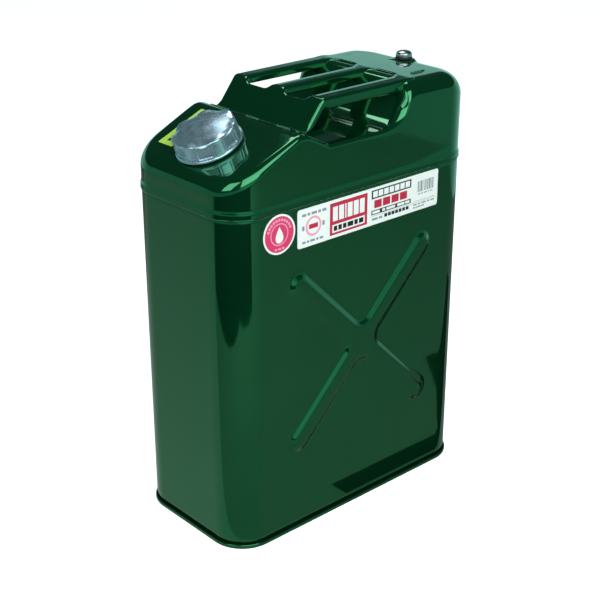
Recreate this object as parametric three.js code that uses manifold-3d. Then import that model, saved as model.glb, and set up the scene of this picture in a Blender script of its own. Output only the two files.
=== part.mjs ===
// Twenty-litre steel petrol can: pressed tub and top shell, seamed bottom, three-bar handle,
// screw cap on a sloping shoulder, and an air screw on the rear panel.
// Millimetres, +Z up, +X from the spout end to the air-screw end, origin on the floor under the middle.
import * as THREE from 'three';
import { mergeVertices } from 'three/addons/utils/BufferGeometryUtils.js';
import Module from 'manifold-3d';

const wasm = await Module();
wasm.setup();

// ---- driving dimensions -------------------------------------------------------------------------
const BODY_LENGTH = 345;
const BODY_WIDTH = 172;
const BODY_HEIGHT = 473; // floor to the rear panel's top face
const CORNER_RADIUS = 38; // upright corners of the body
const SHEET = 1; // steel sheet
const GAP = 0.3; // between pieces that touch or are welded
const RIM_OUT = 2; // the rolled bottom seam stands out this far
const RIM_HEIGHT = 5;
const BOTTOM_RISE = 10; // the bottom plate's underside above the floor
const LAP_LENGTH = 5; // how far the top shell slips over the tub
const JOGGLE_HEIGHT = 3; // the step that widens the top shell over the tub
const TOP_DEPTH = 97; // rear panel down to the top shell's lower edge

// The top seen from the side: heights below the rear panel, distances from the end walls.
const SHOULDER_DROP = 62.5; // rear panel down to the foot of the shoulder at the front wall
const SHOULDER_SLOPE = THREE.MathUtils.degToRad(22.8);
const CREST_SETBACK = 94.5; // front wall to the shoulder's crest
const CREST_BEND = 20;
const VALLEY_DEPTH = 42; // rear panel down to the floor of the hand valley
const VALLEY_SETBACK = 128.5; // front wall to the valley's front corner
const VALLEY_FRONT_BEND = 10;
const VALLEY_REAR_BEND = 45;
const RISE_RUN = 14.5; // how far the valley's rear wall leans over its height
const PANEL_LENGTH = 99.5; // rear wall to the panel's front corner
const PANEL_BEND = 14;
const FRONT_EDGE = 13; // bend between the shoulder's foot and the upright walls
const CREST_EDGE = 6;
const VALLEY_EDGE = 4;
const PANEL_EDGE = 20;
const REAR_EDGE = 28;

// The cross pressed into both wide faces.
const CROSS_CREST = 10; // width of the flat crest
const CROSS_FLANK = 7; // width of each sloping flank
const CROSS_HEIGHT = 4;
const CROSS_FILLET = 20; // between neighbouring arms
const CROSS_ABOVE_FLOOR = 96; // to the lower arms' ends
const CROSS_BELOW_LAP = 70; // from the top shell's lower edge to the upper arms' ends
const CROSS_CENTRE_X = 4;

// The three-bar handle.
const HANDLE_WIDTH = 141;
const HANDLE_REACH = 133.5; // front wall to the bend at the top of the front plate
const HANDLE_LEG_RUN = 24.5; // how far the front plate slopes forward on its way down
const HANDLE_FOOT = 10; // length of the welded foot
const SLOT_LENGTH = 127;
const SLOT_WIDTH = 40;
const SLOT_FRONT_DIP = 3; // the slots run this far into the front plate
const MIDDLE_BAR = 20; // width of the bar between the two slots
const OUTER_FLANGE = 11.5; // depth of the outer downturned edges
const INNER_FLANGE = 8; // depth of the downturned edges along the slots
const LEG_FLANGE = 6; // width of the flange down the front plate's sides
const TAB_WIDTH = 104;
const TAB_LENGTH = 44; // welded on the rear panel behind the slots

// Mouth and cap, along an axis square to the shoulder.
const MOUTH_SETBACK = 44; // front wall to the mouth's axis, level
const MOUTH_BORE = 40;
const MOUTH_WALL = 2.5;
const MOUTH_HEIGHT = 17;
const MOUTH_FLANGE = 6; // the flange reaches this far beyond the mouth's wall
const MOUTH_FLANGE_THICKNESS = 1.5;
const THREAD_PITCH = 4;
const THREAD_DEPTH = 1.4;
const THREAD_WIDTH = 1.6;
const THREAD_CLEARANCE = 0.8; // between one thread's crest and the other's root
const THREAD_TURNS = 2;
const GASKET_THICKNESS = 2.2;
const CAP_WALL = 8.8; // from its bore to the edge of its top
const CAP_FLARE = 2.3; // the rim reaches this far past the top's edge
const CAP_LIFT = 1.4; // the cap's rim above the shoulder
const CAP_ROOF = 0.7; // from the gasket's seat to the level of the top's edge
const CAP_DOME = 2.8;
const CAP_GRIPS = 7; // flat grips sunk round the cap
const GRIP_DEPTH = 1.8;
const GRIP_SHARE = 0.6; // of the pitch between two grips
const GRIP_TURN = 20.6; // degrees from the axis's uphill side to the first grip
const SLIVER = 0.02;

// Air screw.
const VENT_SETBACK = 24; // rear wall to its axis
const VENT_SHANK = 8;
const VENT_HEAD = 18.5;
const VENT_HEAD_HEIGHT = 7;
const VENT_SHANK_LENGTH = 13;
const VENT_SEAL_WIDTH = 19;
const VENT_SEAL_THICKNESS = 2;
const VENT_BOSS_WIDTH = 17;
const VENT_SEAT_MARGIN = 2; // the flat seat pressed in the shell reaches this far past the seal
const VENT_SEAT_HEIGHT = 7;
const VENT_BOSS_HEIGHT = 7;
const RUNNING_CLEARANCE = 0.25;

// Stickers: [left x, low z] of each, and its size.
const STICKER = 0.25;
const STICKER_GAP = 0.15;
const MAIN_LABEL = { length: 206, height: 41.4, corner: 3, x: 14.6, belowLap: 3.5 };
const ROUND_LABEL = { diameter: 42, x: -112.4, belowLap: 1.2 };
const CAUTION_LABEL = { length: 62, width: 23, corner: 1.5, y: 52.5, setback: 55 };

// ---- worked-out places --------------------------------------------------------------------------
const FRONT = -BODY_LENGTH / 2;
const REAR = BODY_LENGTH / 2;
const LAP_OUT = SHEET + GAP;
const LAP_BOTTOM_Z = BODY_HEIGHT - TOP_DEPTH;
const LAP_TOP_Z = LAP_BOTTOM_Z + LAP_LENGTH;
const CROSS_TOP_Z = LAP_BOTTOM_Z - CROSS_BELOW_LAP;
const CROSS_CENTRE_Z = (CROSS_TOP_Z + CROSS_ABOVE_FLOOR) / 2;
// Centre to the middle of an arm's round end, on the diagonal.
const CROSS_ARM = Math.SQRT2 * (CROSS_TOP_Z - CROSS_CENTRE_Z - CROSS_CREST / 2 - CROSS_FLANK);
const CREST_X = FRONT + CREST_SETBACK;
const SHOULDER_FOOT_Z = BODY_HEIGHT - SHOULDER_DROP;
const CREST_Z = SHOULDER_FOOT_Z + CREST_SETBACK * Math.tan(SHOULDER_SLOPE);
const VALLEY_Z = BODY_HEIGHT - VALLEY_DEPTH;
const PANEL_X = REAR - PANEL_LENGTH;
const HANDLE_TOP_Z = BODY_HEIGHT + GAP + SHEET;
const HANDLE_BEND_X = FRONT + HANDLE_REACH;
const MOUTH_X = FRONT + MOUTH_SETBACK;
const MOUTH_OUTER = MOUTH_BORE / 2 + MOUTH_WALL;
const VENT_X = REAR - VENT_SETBACK;

// Corners of the top's centre section, front to rear: [x, z, bend radius].
const TOP_CORNERS = [
  [FRONT, SHOULDER_FOOT_Z, 0],
  [CREST_X, CREST_Z, CREST_BEND],
  [FRONT + VALLEY_SETBACK, VALLEY_Z, VALLEY_FRONT_BEND],
  [PANEL_X - RISE_RUN, VALLEY_Z, VALLEY_REAR_BEND],
  [PANEL_X, BODY_HEIGHT, PANEL_BEND],
  [REAR, BODY_HEIGHT, 0],
];

// ---- solids and meshes --------------------------------------------------------------------------
function toSolid(geometry) {
  const bare = geometry.clone();
  bare.deleteAttribute('normal');
  bare.deleteAttribute('uv');
  const merged = mergeVertices(bare, 1e-4);
  return new wasm.Manifold(new wasm.Mesh({
    numProp: 3,
    vertProperties: Float32Array.from(merged.attributes.position.array),
    triVerts: Uint32Array.from(merged.index.array),
  }));
}

function toGeometry(solid) {
  const mesh = solid.getMesh();
  const geometry = new THREE.BufferGeometry();
  geometry.setAttribute('position', new THREE.BufferAttribute(mesh.vertProperties, 3));
  geometry.setIndex(new THREE.BufferAttribute(mesh.triVerts, 1));
  return geometry;
}

const unite = (first, ...others) => others.reduce((sum, solid) => sum.add(solid), first);

function place(geometry, position, rotation = [0, 0, 0]) {
  const turn = new THREE.Quaternion().setFromEuler(new THREE.Euler(...rotation));
  const matrix = new THREE.Matrix4().compose(
    new THREE.Vector3(...position), turn, new THREE.Vector3(1, 1, 1));
  return geometry.applyMatrix4(matrix);
}

function box(low, high) {
  const size = high.map((value, k) => value - low[k]);
  return toSolid(place(new THREE.BoxGeometry(...size), low.map((value, k) => value + size[k] / 2)));
}

// A turned solid about +Z from a closed outline of [radius, z] points.
function turned(points, segments = 48) {
  const outline = [...points, points[0]].map(([r, z]) => new THREE.Vector2(r, z));
  return toSolid(new THREE.LatheGeometry(outline, segments).rotateX(Math.PI / 2));
}

// A flat outline in XZ carried along Y from y0 to y1.
function carriedAlongY(points, y0, y1) {
  const shape = new THREE.Shape(points.map(([x, z]) => new THREE.Vector2(x, z)));
  const geometry = new THREE.ExtrudeGeometry(shape, { depth: y1 - y0, bevelEnabled: false });
  return toSolid(place(geometry, [0, y1, 0], [Math.PI / 2, 0, 0]));
}

function roundedRectangle(length, width, radius) {
  const shape = new THREE.Shape();
  const [a, b] = [length / 2, width / 2];
  shape.absarc(a - radius, b - radius, radius, 0, Math.PI / 2);
  shape.absarc(-a + radius, b - radius, radius, Math.PI / 2, Math.PI);
  shape.absarc(-a + radius, -b + radius, radius, Math.PI, 1.5 * Math.PI);
  shape.absarc(a - radius, -b + radius, radius, 1.5 * Math.PI, 2 * Math.PI);
  return shape;
}

// ---- the body's outline and the top's section ---------------------------------------------------
const ARC_STEPS = 7;

// One long side, front to rear, of the body's plan: points with their outward normals.
// The other long side is its mirror image.
function halfOutline(stations = []) {
  const [cx, cy] = [BODY_LENGTH / 2 - CORNER_RADIUS, BODY_WIDTH / 2 - CORNER_RADIUS];
  const points = [];
  const corner = (x, from) => {
    for (let k = 0; k <= ARC_STEPS; k++) {
      const angle = from + (k / ARC_STEPS) * Math.PI / 2;
      const [nx, ny] = [Math.cos(angle), Math.sin(angle)];
      points.push({ x: x + CORNER_RADIUS * nx, y: -cy + CORNER_RADIUS * ny, nx, ny });
    }
  };
  corner(-cx, Math.PI);
  for (const x of stations) {
    if (x > -cx + 1 && x < cx - 1) points.push({ x, y: -BODY_WIDTH / 2, nx: 0, ny: -1 });
  }
  corner(cx, 1.5 * Math.PI);
  return points;
}

// A closed solid from rings that run round the body. ring(point) gives [inset, z]; both ends are
// closed by strips from one long side to the other.
function bodySolid(rings, stations) {
  const half = halfOutline(stations);
  const count = half.length;
  const vertices = [];
  for (const ring of rings) {
    const near = half.map((point) => {
      const [inset, z] = ring(point);
      return [point.x - point.nx * inset, point.y - point.ny * inset, z];
    });
    vertices.push(...near, ...near.map(([x, y, z]) => [x, -y, z]).reverse());
  }
  const faces = [];
  const quad = (a, b, c, d) => faces.push(a, b, c, a, c, d);
  const around = 2 * count;
  for (let r = 0; r + 1 < rings.length; r++) {
    for (let k = 0; k < around; k++) {
      const next = (k + 1) % around;
      quad(r * around + k, r * around + next, (r + 1) * around + next, (r + 1) * around + k);
    }
  }
  const top = (rings.length - 1) * around;
  for (let k = 0; k + 1 < count; k++) {
    quad(around - 1 - k, around - 2 - k, k + 1, k);
    quad(top + k, top + k + 1, top + around - 2 - k, top + around - 1 - k);
  }
  const geometry = new THREE.BufferGeometry();
  geometry.setAttribute('position', new THREE.Float32BufferAttribute(vertices.flat(), 3));
  geometry.setIndex(faces);
  return toSolid(geometry);
}

const prism = (inset, z0, z1) => bodySolid([() => [inset, z0], () => [inset, z1]]);

// The top's section moved down square to itself by depth, as points with its bends drawn as arcs.
function topSection(depth) {
  const lines = TOP_CORNERS.slice(1).map(([x, z], k) => {
    const [x0, z0] = TOP_CORNERS[k];
    const angle = Math.atan2(z - z0, x - x0);
    return { angle, x: x0 + depth * Math.sin(angle), z: z0 - depth * Math.cos(angle) };
  });
  const points = [];
  const onLine = (line, x) => [x, line.z + (x - line.x) * Math.tan(line.angle)];
  points.push(onLine(lines[0], FRONT));
  for (let k = 1; k < lines.length; k++) {
    const [before, after] = [lines[k - 1], lines[k]];
    const turn = after.angle - before.angle;
    const radius = TOP_CORNERS[k][2] + depth * Math.sign(turn);
    const slopes = [Math.tan(before.angle), Math.tan(after.angle)];
    const x = (after.z - before.z + slopes[0] * before.x - slopes[1] * after.x) / (slopes[0] - slopes[1]);
    const z = onLine(before, x)[1];
    const tangent = radius * Math.abs(Math.tan(turn / 2));
    const side = Math.sign(turn);
    const start = [x - tangent * Math.cos(before.angle), z - tangent * Math.sin(before.angle)];
    const centre = [start[0] - side * radius * Math.sin(before.angle),
      start[1] + side * radius * Math.cos(before.angle)];
    const steps = Math.max(3, Math.round(Math.abs(turn) / 0.2));
    for (let s = 0; s <= steps; s++) {
      const angle = before.angle + (s / steps) * turn;
      points.push([centre[0] + side * radius * Math.sin(angle), centre[1] - side * radius * Math.cos(angle)]);
    }
  }
  points.push(onLine(lines[lines.length - 1], REAR));
  return points;
}

function heightAt(section, x) {
  const k = Math.max(1, section.findIndex(([px]) => px >= x));
  const [[x0, z0], [x1, z1]] = [section[k - 1], section[k]];
  return z0 + (z1 - z0) * (x - x0) / (x1 - x0);
}

const OUTER_SECTION = topSection(0);
const INNER_SECTION = topSection(SHEET);
const topZ = (x) => heightAt(OUTER_SECTION, x);

const easeBetween = (x, from, to) => THREE.MathUtils.smoothstep(x, from, to);

// Bend radius along the top's edge at x.
function edgeRadius(x) {
  const toCrest = easeBetween(x, FRONT, CREST_X);
  const toValley = easeBetween(x, CREST_X, FRONT + VALLEY_SETBACK);
  const toPanel = easeBetween(x, PANEL_X - VALLEY_REAR_BEND, PANEL_X + PANEL_BEND);
  const toRear = easeBetween(x, REAR - CORNER_RADIUS, REAR);
  const shoulder = THREE.MathUtils.lerp(FRONT_EDGE, CREST_EDGE, toCrest);
  const front = THREE.MathUtils.lerp(shoulder, VALLEY_EDGE, toValley);
  return THREE.MathUtils.lerp(THREE.MathUtils.lerp(front, PANEL_EDGE, toPanel), REAR_EDGE, toRear);
}

// The solid under the top: straight walls, the joggle over the tub, and the bent top edge.
function topSolid(section, inset, lapInset, bottomZ) {
  const stations = section.map(([x]) => x);
  const bend = (turn) => (point) => {
    const radius = edgeRadius(point.x) - inset;
    const depth = inset + radius * (1 - Math.cos(turn));
    const z = heightAt(section, point.x - point.nx * depth) - radius * (1 - Math.sin(turn));
    return [depth, z];
  };
  const bends = [0, 0.25, 0.5, 0.75, 1].map((share) => bend(share * Math.PI / 2));
  return bodySolid([
    () => [lapInset, bottomZ],
    () => [lapInset, LAP_TOP_Z + GAP],
    () => [inset, LAP_TOP_Z + GAP + JOGGLE_HEIGHT],
    ...bends,
  ], stations);
}

// ---- mouth axis ---------------------------------------------------------------------------------
const mouthGroup = new THREE.Group();
mouthGroup.position.set(MOUTH_X, 0, topZ(MOUTH_X));
mouthGroup.rotation.y = -SHOULDER_SLOPE;
mouthGroup.updateMatrixWorld();

// A screw thread's ridge about +Z: `out` points away from the axis, or towards it when negative.
function threadRidge(root, out, z0, turns) {
  const perTurn = 24;
  const steps = Math.round(turns * perTurn);
  const sunk = -0.3 * Math.sign(out);
  const corners = [[sunk, -1], [sunk, 1], [out, 0.5], [out, -0.5]];
  const vertices = [];
  for (let k = 0; k <= steps; k++) {
    const angle = (k / perTurn) * 2 * Math.PI;
    const fade = Math.min(1, (k + 1) / 4, (steps - k + 1) / 4);
    for (const [radial, side] of corners) {
      const r = root + (radial === sunk ? sunk : radial * fade);
      const z = z0 + THREAD_PITCH * angle / (2 * Math.PI) + side * THREAD_WIDTH / 2;
      vertices.push(r * Math.cos(angle), r * Math.sin(angle), z);
    }
  }
  const faces = [];
  const quad = (a, b, c, d) => faces.push(a, b, c, a, c, d);
  for (let k = 0; k < steps; k++) {
    for (let c = 0; c < 4; c++) {
      const next = (c + 1) % 4;
      quad(4 * k + c, 4 * k + next, 4 * k + 4 + next, 4 * k + 4 + c);
    }
  }
  const end = 4 * steps;
  quad(3, 2, 1, 0);
  quad(end, end + 1, end + 2, end + 3);
  if (out > 0) faces.reverse();
  const geometry = new THREE.BufferGeometry();
  geometry.setAttribute('position', new THREE.Float32BufferAttribute(vertices, 3));
  geometry.setIndex(faces);
  return toSolid(geometry);
}

// ---- the pieces ---------------------------------------------------------------------------------
function crossShape() {
  const half = CROSS_CREST / 2;
  const shape = new THREE.Shape();
  // The fillet between two arms touches both crests' edges.
  const inner = Math.SQRT2 * half + Math.SQRT2 * CROSS_FILLET;
  for (let arm = 0; arm < 4; arm++) {
    const direction = Math.PI / 4 + arm * Math.PI / 2;
    const [ex, ey] = [CROSS_ARM * Math.cos(direction), CROSS_ARM * Math.sin(direction)];
    shape.absarc(ex, ey, half, direction - Math.PI / 2, direction + Math.PI / 2);
    const notch = direction + Math.PI / 4;
    const [nx, ny] = [inner * Math.cos(notch), inner * Math.sin(notch)];
    shape.absarc(nx, ny, CROSS_FILLET, notch + 1.25 * Math.PI, notch + 0.75 * Math.PI, true);
  }
  return shape;
}

// The raised cross as a solid that stands out from the face at -Y, sunk back by `sunk`.
function crossSolid(sunk, side) {
  const geometry = new THREE.ExtrudeGeometry(crossShape(), {
    depth: 1, bevelEnabled: true, bevelThickness: CROSS_HEIGHT, bevelSize: CROSS_FLANK,
    bevelSegments: 2, curveSegments: 5,
  });
  // The extrusion stands 2 * CROSS_HEIGHT + 1 tall; its widest band lies level with the wall.
  const turn = side < 0 ? Math.PI / 2 : -Math.PI / 2;
  const y = side * (BODY_WIDTH / 2 - sunk - 1);
  return toSolid(place(geometry, [CROSS_CENTRE_X, y, CROSS_CENTRE_Z], [turn, 0, 0]));
}

function makeTub() {
  const bottom = SHEET + 2 * GAP + 1;
  const skin = unite(prism(0, bottom, LAP_TOP_Z - GAP), crossSolid(0, -1), crossSolid(0, 1));
  const hollow = unite(prism(SHEET, bottom - 1, LAP_TOP_Z + 1), crossSolid(SHEET, -1), crossSolid(SHEET, 1));
  return skin.subtract(hollow);
}

function makeBottomPlate() {
  const wallTop = BOTTOM_RISE + SHEET + 2;
  const wallOut = SHEET + GAP; // clear of the tub's inside
  const rim = bodySolid([
    () => [-RIM_OUT + 0.8, 0],
    () => [-RIM_OUT, 0.8],
    () => [-RIM_OUT, RIM_HEIGHT - 0.6],
    () => [-RIM_OUT + 0.6, RIM_HEIGHT],
  ]);
  const dish = prism(wallOut, 1, wallTop);
  const groove = prism(-GAP, 1 + SHEET, wallTop + 1).subtract(prism(wallOut, 0, wallTop + 2));
  const recess = prism(wallOut + SHEET, -1, BOTTOM_RISE);
  const inside = prism(wallOut + SHEET, BOTTOM_RISE + SHEET, wallTop + 1);
  return unite(rim, dish).subtract(groove).subtract(recess).subtract(inside);
}

function makeTopShell() {
  const skin = topSolid(OUTER_SECTION, 0, -LAP_OUT, LAP_BOTTOM_Z);
  const hollow = topSolid(INNER_SECTION, SHEET, -GAP, LAP_BOTTOM_Z - 1);
  const hole = MOUTH_OUTER + GAP;
  const mouth = turned([[0, -20], [hole, -20], [hole, 20], [0, 20]])
    .transform(mouthGroup.matrixWorld.elements);
  const onVent = (radius, z0, z1) => turned([[0, z0], [radius, z0], [radius, z1], [0, z1]], 32)
    .translate([VENT_X, 0, BODY_HEIGHT]);
  const seatRadius = VENT_SEAL_WIDTH / 2 + VENT_SEAT_MARGIN;
  const seat = onVent(seatRadius, -VENT_SEAT_HEIGHT, 0);
  const pocket = onVent(seatRadius - SHEET, -VENT_SEAT_HEIGHT - SHEET, -SHEET);
  const ventHole = onVent(VENT_SHANK / 2 + GAP, -10, 10);
  return skin.add(seat).subtract(hollow.add(pocket)).subtract(mouth).subtract(ventHole);
}

// A side view's line of [x, z] points given a thickness downwards, as a closed outline.
function thickened(points, thickness) {
  const under = points.map(([x, z], k) => {
    const before = points[Math.max(0, k - 1)];
    const after = points[Math.min(points.length - 1, k + 1)];
    const angles = [[before, [x, z]], [[x, z], after]]
      .filter(([a, b]) => a[0] !== b[0] || a[1] !== b[1])
      .map(([a, b]) => Math.atan2(b[1] - a[1], b[0] - a[0]));
    const middle = angles.reduce((sum, angle) => sum + angle, 0) / angles.length;
    const reach = thickness / Math.cos((angles[angles.length - 1] - angles[0]) / 2);
    return [x + reach * Math.sin(middle), z - reach * Math.cos(middle)];
  });
  return [...points, ...under.reverse()];
}

function makeHandle() {
  const half = HANDLE_WIDTH / 2;
  const legFoot = HANDLE_BEND_X - HANDLE_LEG_RUN;
  const lift = GAP + SHEET;
  const footFront = legFoot - HANDLE_FOOT;
  const slotRear = HANDLE_BEND_X + SLOT_LENGTH;
  const tabEnd = slotRear + TAB_LENGTH;
  const legTop = [HANDLE_BEND_X, HANDLE_TOP_Z];
  const legBottom = [legFoot, topZ(legFoot) + lift];
  const footPoints = [footFront, footFront + HANDLE_FOOT / 2].map((x) => [x, topZ(x) + lift]);
  const line = [...footPoints, legBottom, legTop, [slotRear, HANDLE_TOP_Z], [tabEnd, HANDLE_TOP_Z]];
  const plate = carriedAlongY(thickened(line, SHEET), -half, half);

  // Behind the slots only the tab goes on, over the rear panel.
  const beside = [-1, 1].map((side) => box(
    [slotRear + 8, Math.min(side * TAB_WIDTH / 2, side * (half + 1)), HANDLE_TOP_Z - 4],
    [tabEnd + 1, Math.max(side * TAB_WIDTH / 2, side * (half + 1)), HANDLE_TOP_Z + 1]));

  // Outer flanges: along the bar and down the side of the front plate.
  const legSlope = Math.atan2(legTop[1] - legBottom[1], HANDLE_LEG_RUN);
  const legBack = LEG_FLANGE / Math.sin(legSlope);
  const flangeLine = [
    [legBottom[0] + 1, legBottom[1] + 1.5], legTop, [slotRear, HANDLE_TOP_Z],
    [slotRear, HANDLE_TOP_Z - OUTER_FLANGE],
    [legTop[0] + legBack - OUTER_FLANGE / Math.tan(legSlope), HANDLE_TOP_Z - OUTER_FLANGE],
    [legBottom[0] + 1 + legBack, legBottom[1] + 1.5],
  ];
  const outerFlanges = [[-half, -half + SHEET], [half - SHEET, half]]
    .map(([y0, y1]) => carriedAlongY(flangeLine, y0, y1));

  const slotStart = HANDLE_BEND_X - SLOT_FRONT_DIP;
  const slotLength = slotRear - slotStart;
  const slotMiddle = (slotStart + slotRear) / 2;
  const slotY = (MIDDLE_BAR + SLOT_WIDTH) / 2;
  const slots = [-slotY, slotY].map((y) => toSolid(place(
    new THREE.ExtrudeGeometry(roundedRectangle(slotLength, SLOT_WIDTH, 9),
      { depth: 30, bevelEnabled: false, curveSegments: 6 }),
    [slotMiddle, y, HANDLE_TOP_Z - 20])));

  const innerEdges = [-1, 1].flatMap((side) => [MIDDLE_BAR / 2 - SHEET, MIDDLE_BAR / 2 + SLOT_WIDTH]
    .map((y) => [side * y, side * (y + SHEET)].sort((a, b) => a - b)));
  const innerFlanges = innerEdges.map(([y0, y1]) => box(
    [slotStart + 12, y0, HANDLE_TOP_Z - INNER_FLANGE], [slotRear - 10, y1, HANDLE_TOP_Z - SHEET / 2]));
  return unite(plate, ...outerFlanges)
    .subtract(unite(...slots))
    .subtract(unite(...beside))
    .add(unite(...innerFlanges))
    .subtract(topSolid(topSection(-GAP), -GAP, -LAP_OUT - GAP, LAP_BOTTOM_Z));
}

function makeNeck() {
  const flangeTop = -SHEET - GAP;
  const flangeRadius = MOUTH_OUTER + MOUTH_FLANGE;
  const bore = MOUTH_BORE / 2;
  const body = turned([
    [bore, flangeTop - MOUTH_FLANGE_THICKNESS], [flangeRadius, flangeTop - MOUTH_FLANGE_THICKNESS],
    [flangeRadius, flangeTop], [MOUTH_OUTER, flangeTop],
    [MOUTH_OUTER, MOUTH_HEIGHT - 0.8], [MOUTH_OUTER - 0.8, MOUTH_HEIGHT], [bore, MOUTH_HEIGHT],
  ]);
  const start = MOUTH_HEIGHT - 2 - THREAD_TURNS * THREAD_PITCH;
  return body.add(threadRidge(MOUTH_OUTER, THREAD_DEPTH, start, THREAD_TURNS));
}

const CAP_BORE = MOUTH_OUTER + THREAD_DEPTH + THREAD_CLEARANCE;
const CAP_TOP_RADIUS = CAP_BORE + CAP_WALL;
const CAP_RIM_RADIUS = CAP_TOP_RADIUS + CAP_FLARE;
const ROOF_UNDER = MOUTH_HEIGHT + 2 * GAP + GASKET_THICKNESS;

function makeCap() {
  const top = ROOF_UNDER + CAP_ROOF;
  const dome = [1, 0.8, 0.6, 0.4, 0.2, 0].map((share) => {
    const r = (CAP_TOP_RADIUS - 2) * share;
    return [r, top + 1 + CAP_DOME * Math.cos(share * Math.PI / 2)];
  });
  const outside = [
    [0, CAP_LIFT], [CAP_RIM_RADIUS - 0.8, CAP_LIFT], [CAP_RIM_RADIUS, CAP_LIFT + 0.8],
    [CAP_RIM_RADIUS, CAP_LIFT + 2], [CAP_RIM_RADIUS - 0.8, CAP_LIFT + 3],
    [CAP_TOP_RADIUS, top - 1], [CAP_TOP_RADIUS - 0.7, top + 0.4], ...dome.slice(0, -1), [0, dome.at(-1)[1]],
  ];
  const below = CAP_LIFT - 1;
  const hollow = turned([[0, below], [CAP_BORE, below], [CAP_BORE, ROOF_UNDER], [0, ROOF_UNDER]]);
  const pitch = (2 * Math.PI) / CAP_GRIPS;
  const middleRadius = (CAP_RIM_RADIUS + CAP_TOP_RADIUS) / 2;
  const width = middleRadius * pitch * GRIP_SHARE;
  const lean = Math.atan2(CAP_RIM_RADIUS - 0.8 - CAP_TOP_RADIUS, top - 4 - CAP_LIFT);
  const grips = Array.from({ length: CAP_GRIPS }, (_, k) => {
    const angle = k * pitch + (GRIP_TURN * Math.PI) / 180;
    const cutter = new THREE.BoxGeometry(2 * GRIP_DEPTH, width, top - CAP_LIFT - 6.5);
    cutter.rotateY(-lean);
    cutter.translate(middleRadius + 0.1, 0, (top + CAP_LIFT + 2) / 2);
    return toSolid(cutter.rotateZ(angle));
  });
  // Half a pitch from the mouth's thread, so the two ridges lie between each other.
  const start = MOUTH_HEIGHT - 2 - THREAD_TURNS * THREAD_PITCH + THREAD_PITCH / 2;
  const thread = threadRidge(CAP_BORE, -THREAD_DEPTH, start, 1);
  const cap = turned(outside, 8 * CAP_GRIPS).subtract(hollow).subtract(unite(...grips)).add(thread);
  // The grips' cuts leave slivers, so corners closer than this are merged.
  return cap.simplify(SLIVER);
}

function ring(innerRadius, outerRadius, z0, z1, segments = 48) {
  return turned([[innerRadius, z0], [outerRadius, z0], [outerRadius, z1], [innerRadius, z1]], segments);
}

const makeGasket = () => ring(
  MOUTH_BORE / 2, CAP_BORE - 1, MOUTH_HEIGHT + GAP, MOUTH_HEIGHT + GAP + GASKET_THICKNESS);

// The backing ring lies under the mouth's flange, inside the can.
function makeBackingRing() {
  const top = -SHEET - 2 * GAP - MOUTH_FLANGE_THICKNESS;
  return ring(MOUTH_BORE / 2 + 1, MOUTH_OUTER + MOUTH_FLANGE + 3, top - 1.2, top);
}

const VENT_SEAL_BOTTOM = GAP;
const VENT_HEAD_BOTTOM = VENT_SEAL_BOTTOM + VENT_SEAL_THICKNESS + GAP;

function makeVentScrew() {
  const [shank, head] = [VENT_SHANK / 2, VENT_HEAD / 2];
  const skirt = VENT_HEAD_BOTTOM + VENT_HEAD_HEIGHT * 0.45;
  const dome = [0, 0.25, 0.5, 0.75, 1].map((share) => [
    head * Math.cos(share * Math.PI / 2), skirt + VENT_HEAD_HEIGHT * 0.55 * Math.sin(share * Math.PI / 2)]);
  dome[dome.length - 1][0] = 0;
  const shankEnd = VENT_HEAD_BOTTOM - VENT_SHANK_LENGTH;
  return turned([
    [0, shankEnd], [shank - 0.8, shankEnd], [shank, shankEnd + 0.8], [shank, VENT_HEAD_BOTTOM],
    [head - 0.5, VENT_HEAD_BOTTOM], [head, VENT_HEAD_BOTTOM + 0.5], ...dome,
  ], 32);
}

const VENT_BORE = VENT_SHANK / 2 + RUNNING_CLEARANCE;
const sealTop = VENT_SEAL_BOTTOM + VENT_SEAL_THICKNESS;
const bossTop = -SHEET - GAP;
const makeVentSeal = () => ring(VENT_BORE, VENT_SEAL_WIDTH / 2, VENT_SEAL_BOTTOM, sealTop, 32);
const makeVentBoss = () => ring(VENT_BORE, VENT_BOSS_WIDTH / 2, bossTop - VENT_BOSS_HEIGHT, bossTop, 32);

// A flat sticker with rounded corners, lying in XY with its underside at z = 0.
function stickerGeometry(length, width, corner) {
  const shape = roundedRectangle(length, width, corner);
  const steps = corner > 10 ? 12 : 4;
  return new THREE.ExtrudeGeometry(shape, { depth: STICKER, bevelEnabled: false, curveSegments: steps });
}

function wallSticker({ length, height, corner, x, z }) {
  const position = [x, -BODY_WIDTH / 2 - STICKER_GAP, z];
  return place(stickerGeometry(length, height, corner), position, [Math.PI / 2, 0, 0]);
}

function makeCautionLabel() {
  const { length, width, corner, y, setback } = CAUTION_LABEL;
  const x = FRONT + setback;
  const geometry = stickerGeometry(length, width, corner).translate(0, 0, STICKER_GAP);
  return place(geometry, [x, y, topZ(x)], [0, -SHOULDER_SLOPE, 0]);
}

// ---- materials and assembly ---------------------------------------------------------------------
const enamel = () => new THREE.MeshStandardMaterial({ color: 0x14492b, roughness: 0.18, metalness: 0.1 });
const plating = () => new THREE.MeshStandardMaterial({ color: 0xb9c6cc, roughness: 0.25, metalness: 1 });
const steel = () => new THREE.MeshStandardMaterial({ color: 0x9aa0a3, roughness: 0.4, metalness: 1 });
const rubber = () => new THREE.MeshStandardMaterial({ color: 0x1a1a1a, roughness: 0.8, metalness: 0 });
const paper = (color) => new THREE.MeshStandardMaterial({ color, roughness: 0.45, metalness: 0 });

function addMesh(parent, name, shape, material) {
  const geometry = shape.isBufferGeometry ? shape : toGeometry(shape);
  const mesh = new THREE.Mesh(geometry, material);
  mesh.name = name;
  parent.add(mesh);
}

const can = new THREE.Group();
addMesh(can, 'tub', makeTub(), enamel());
addMesh(can, 'bottom_plate', makeBottomPlate(), enamel());
addMesh(can, 'top_shell', makeTopShell(), enamel());
addMesh(can, 'handle', makeHandle(), enamel());

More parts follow.
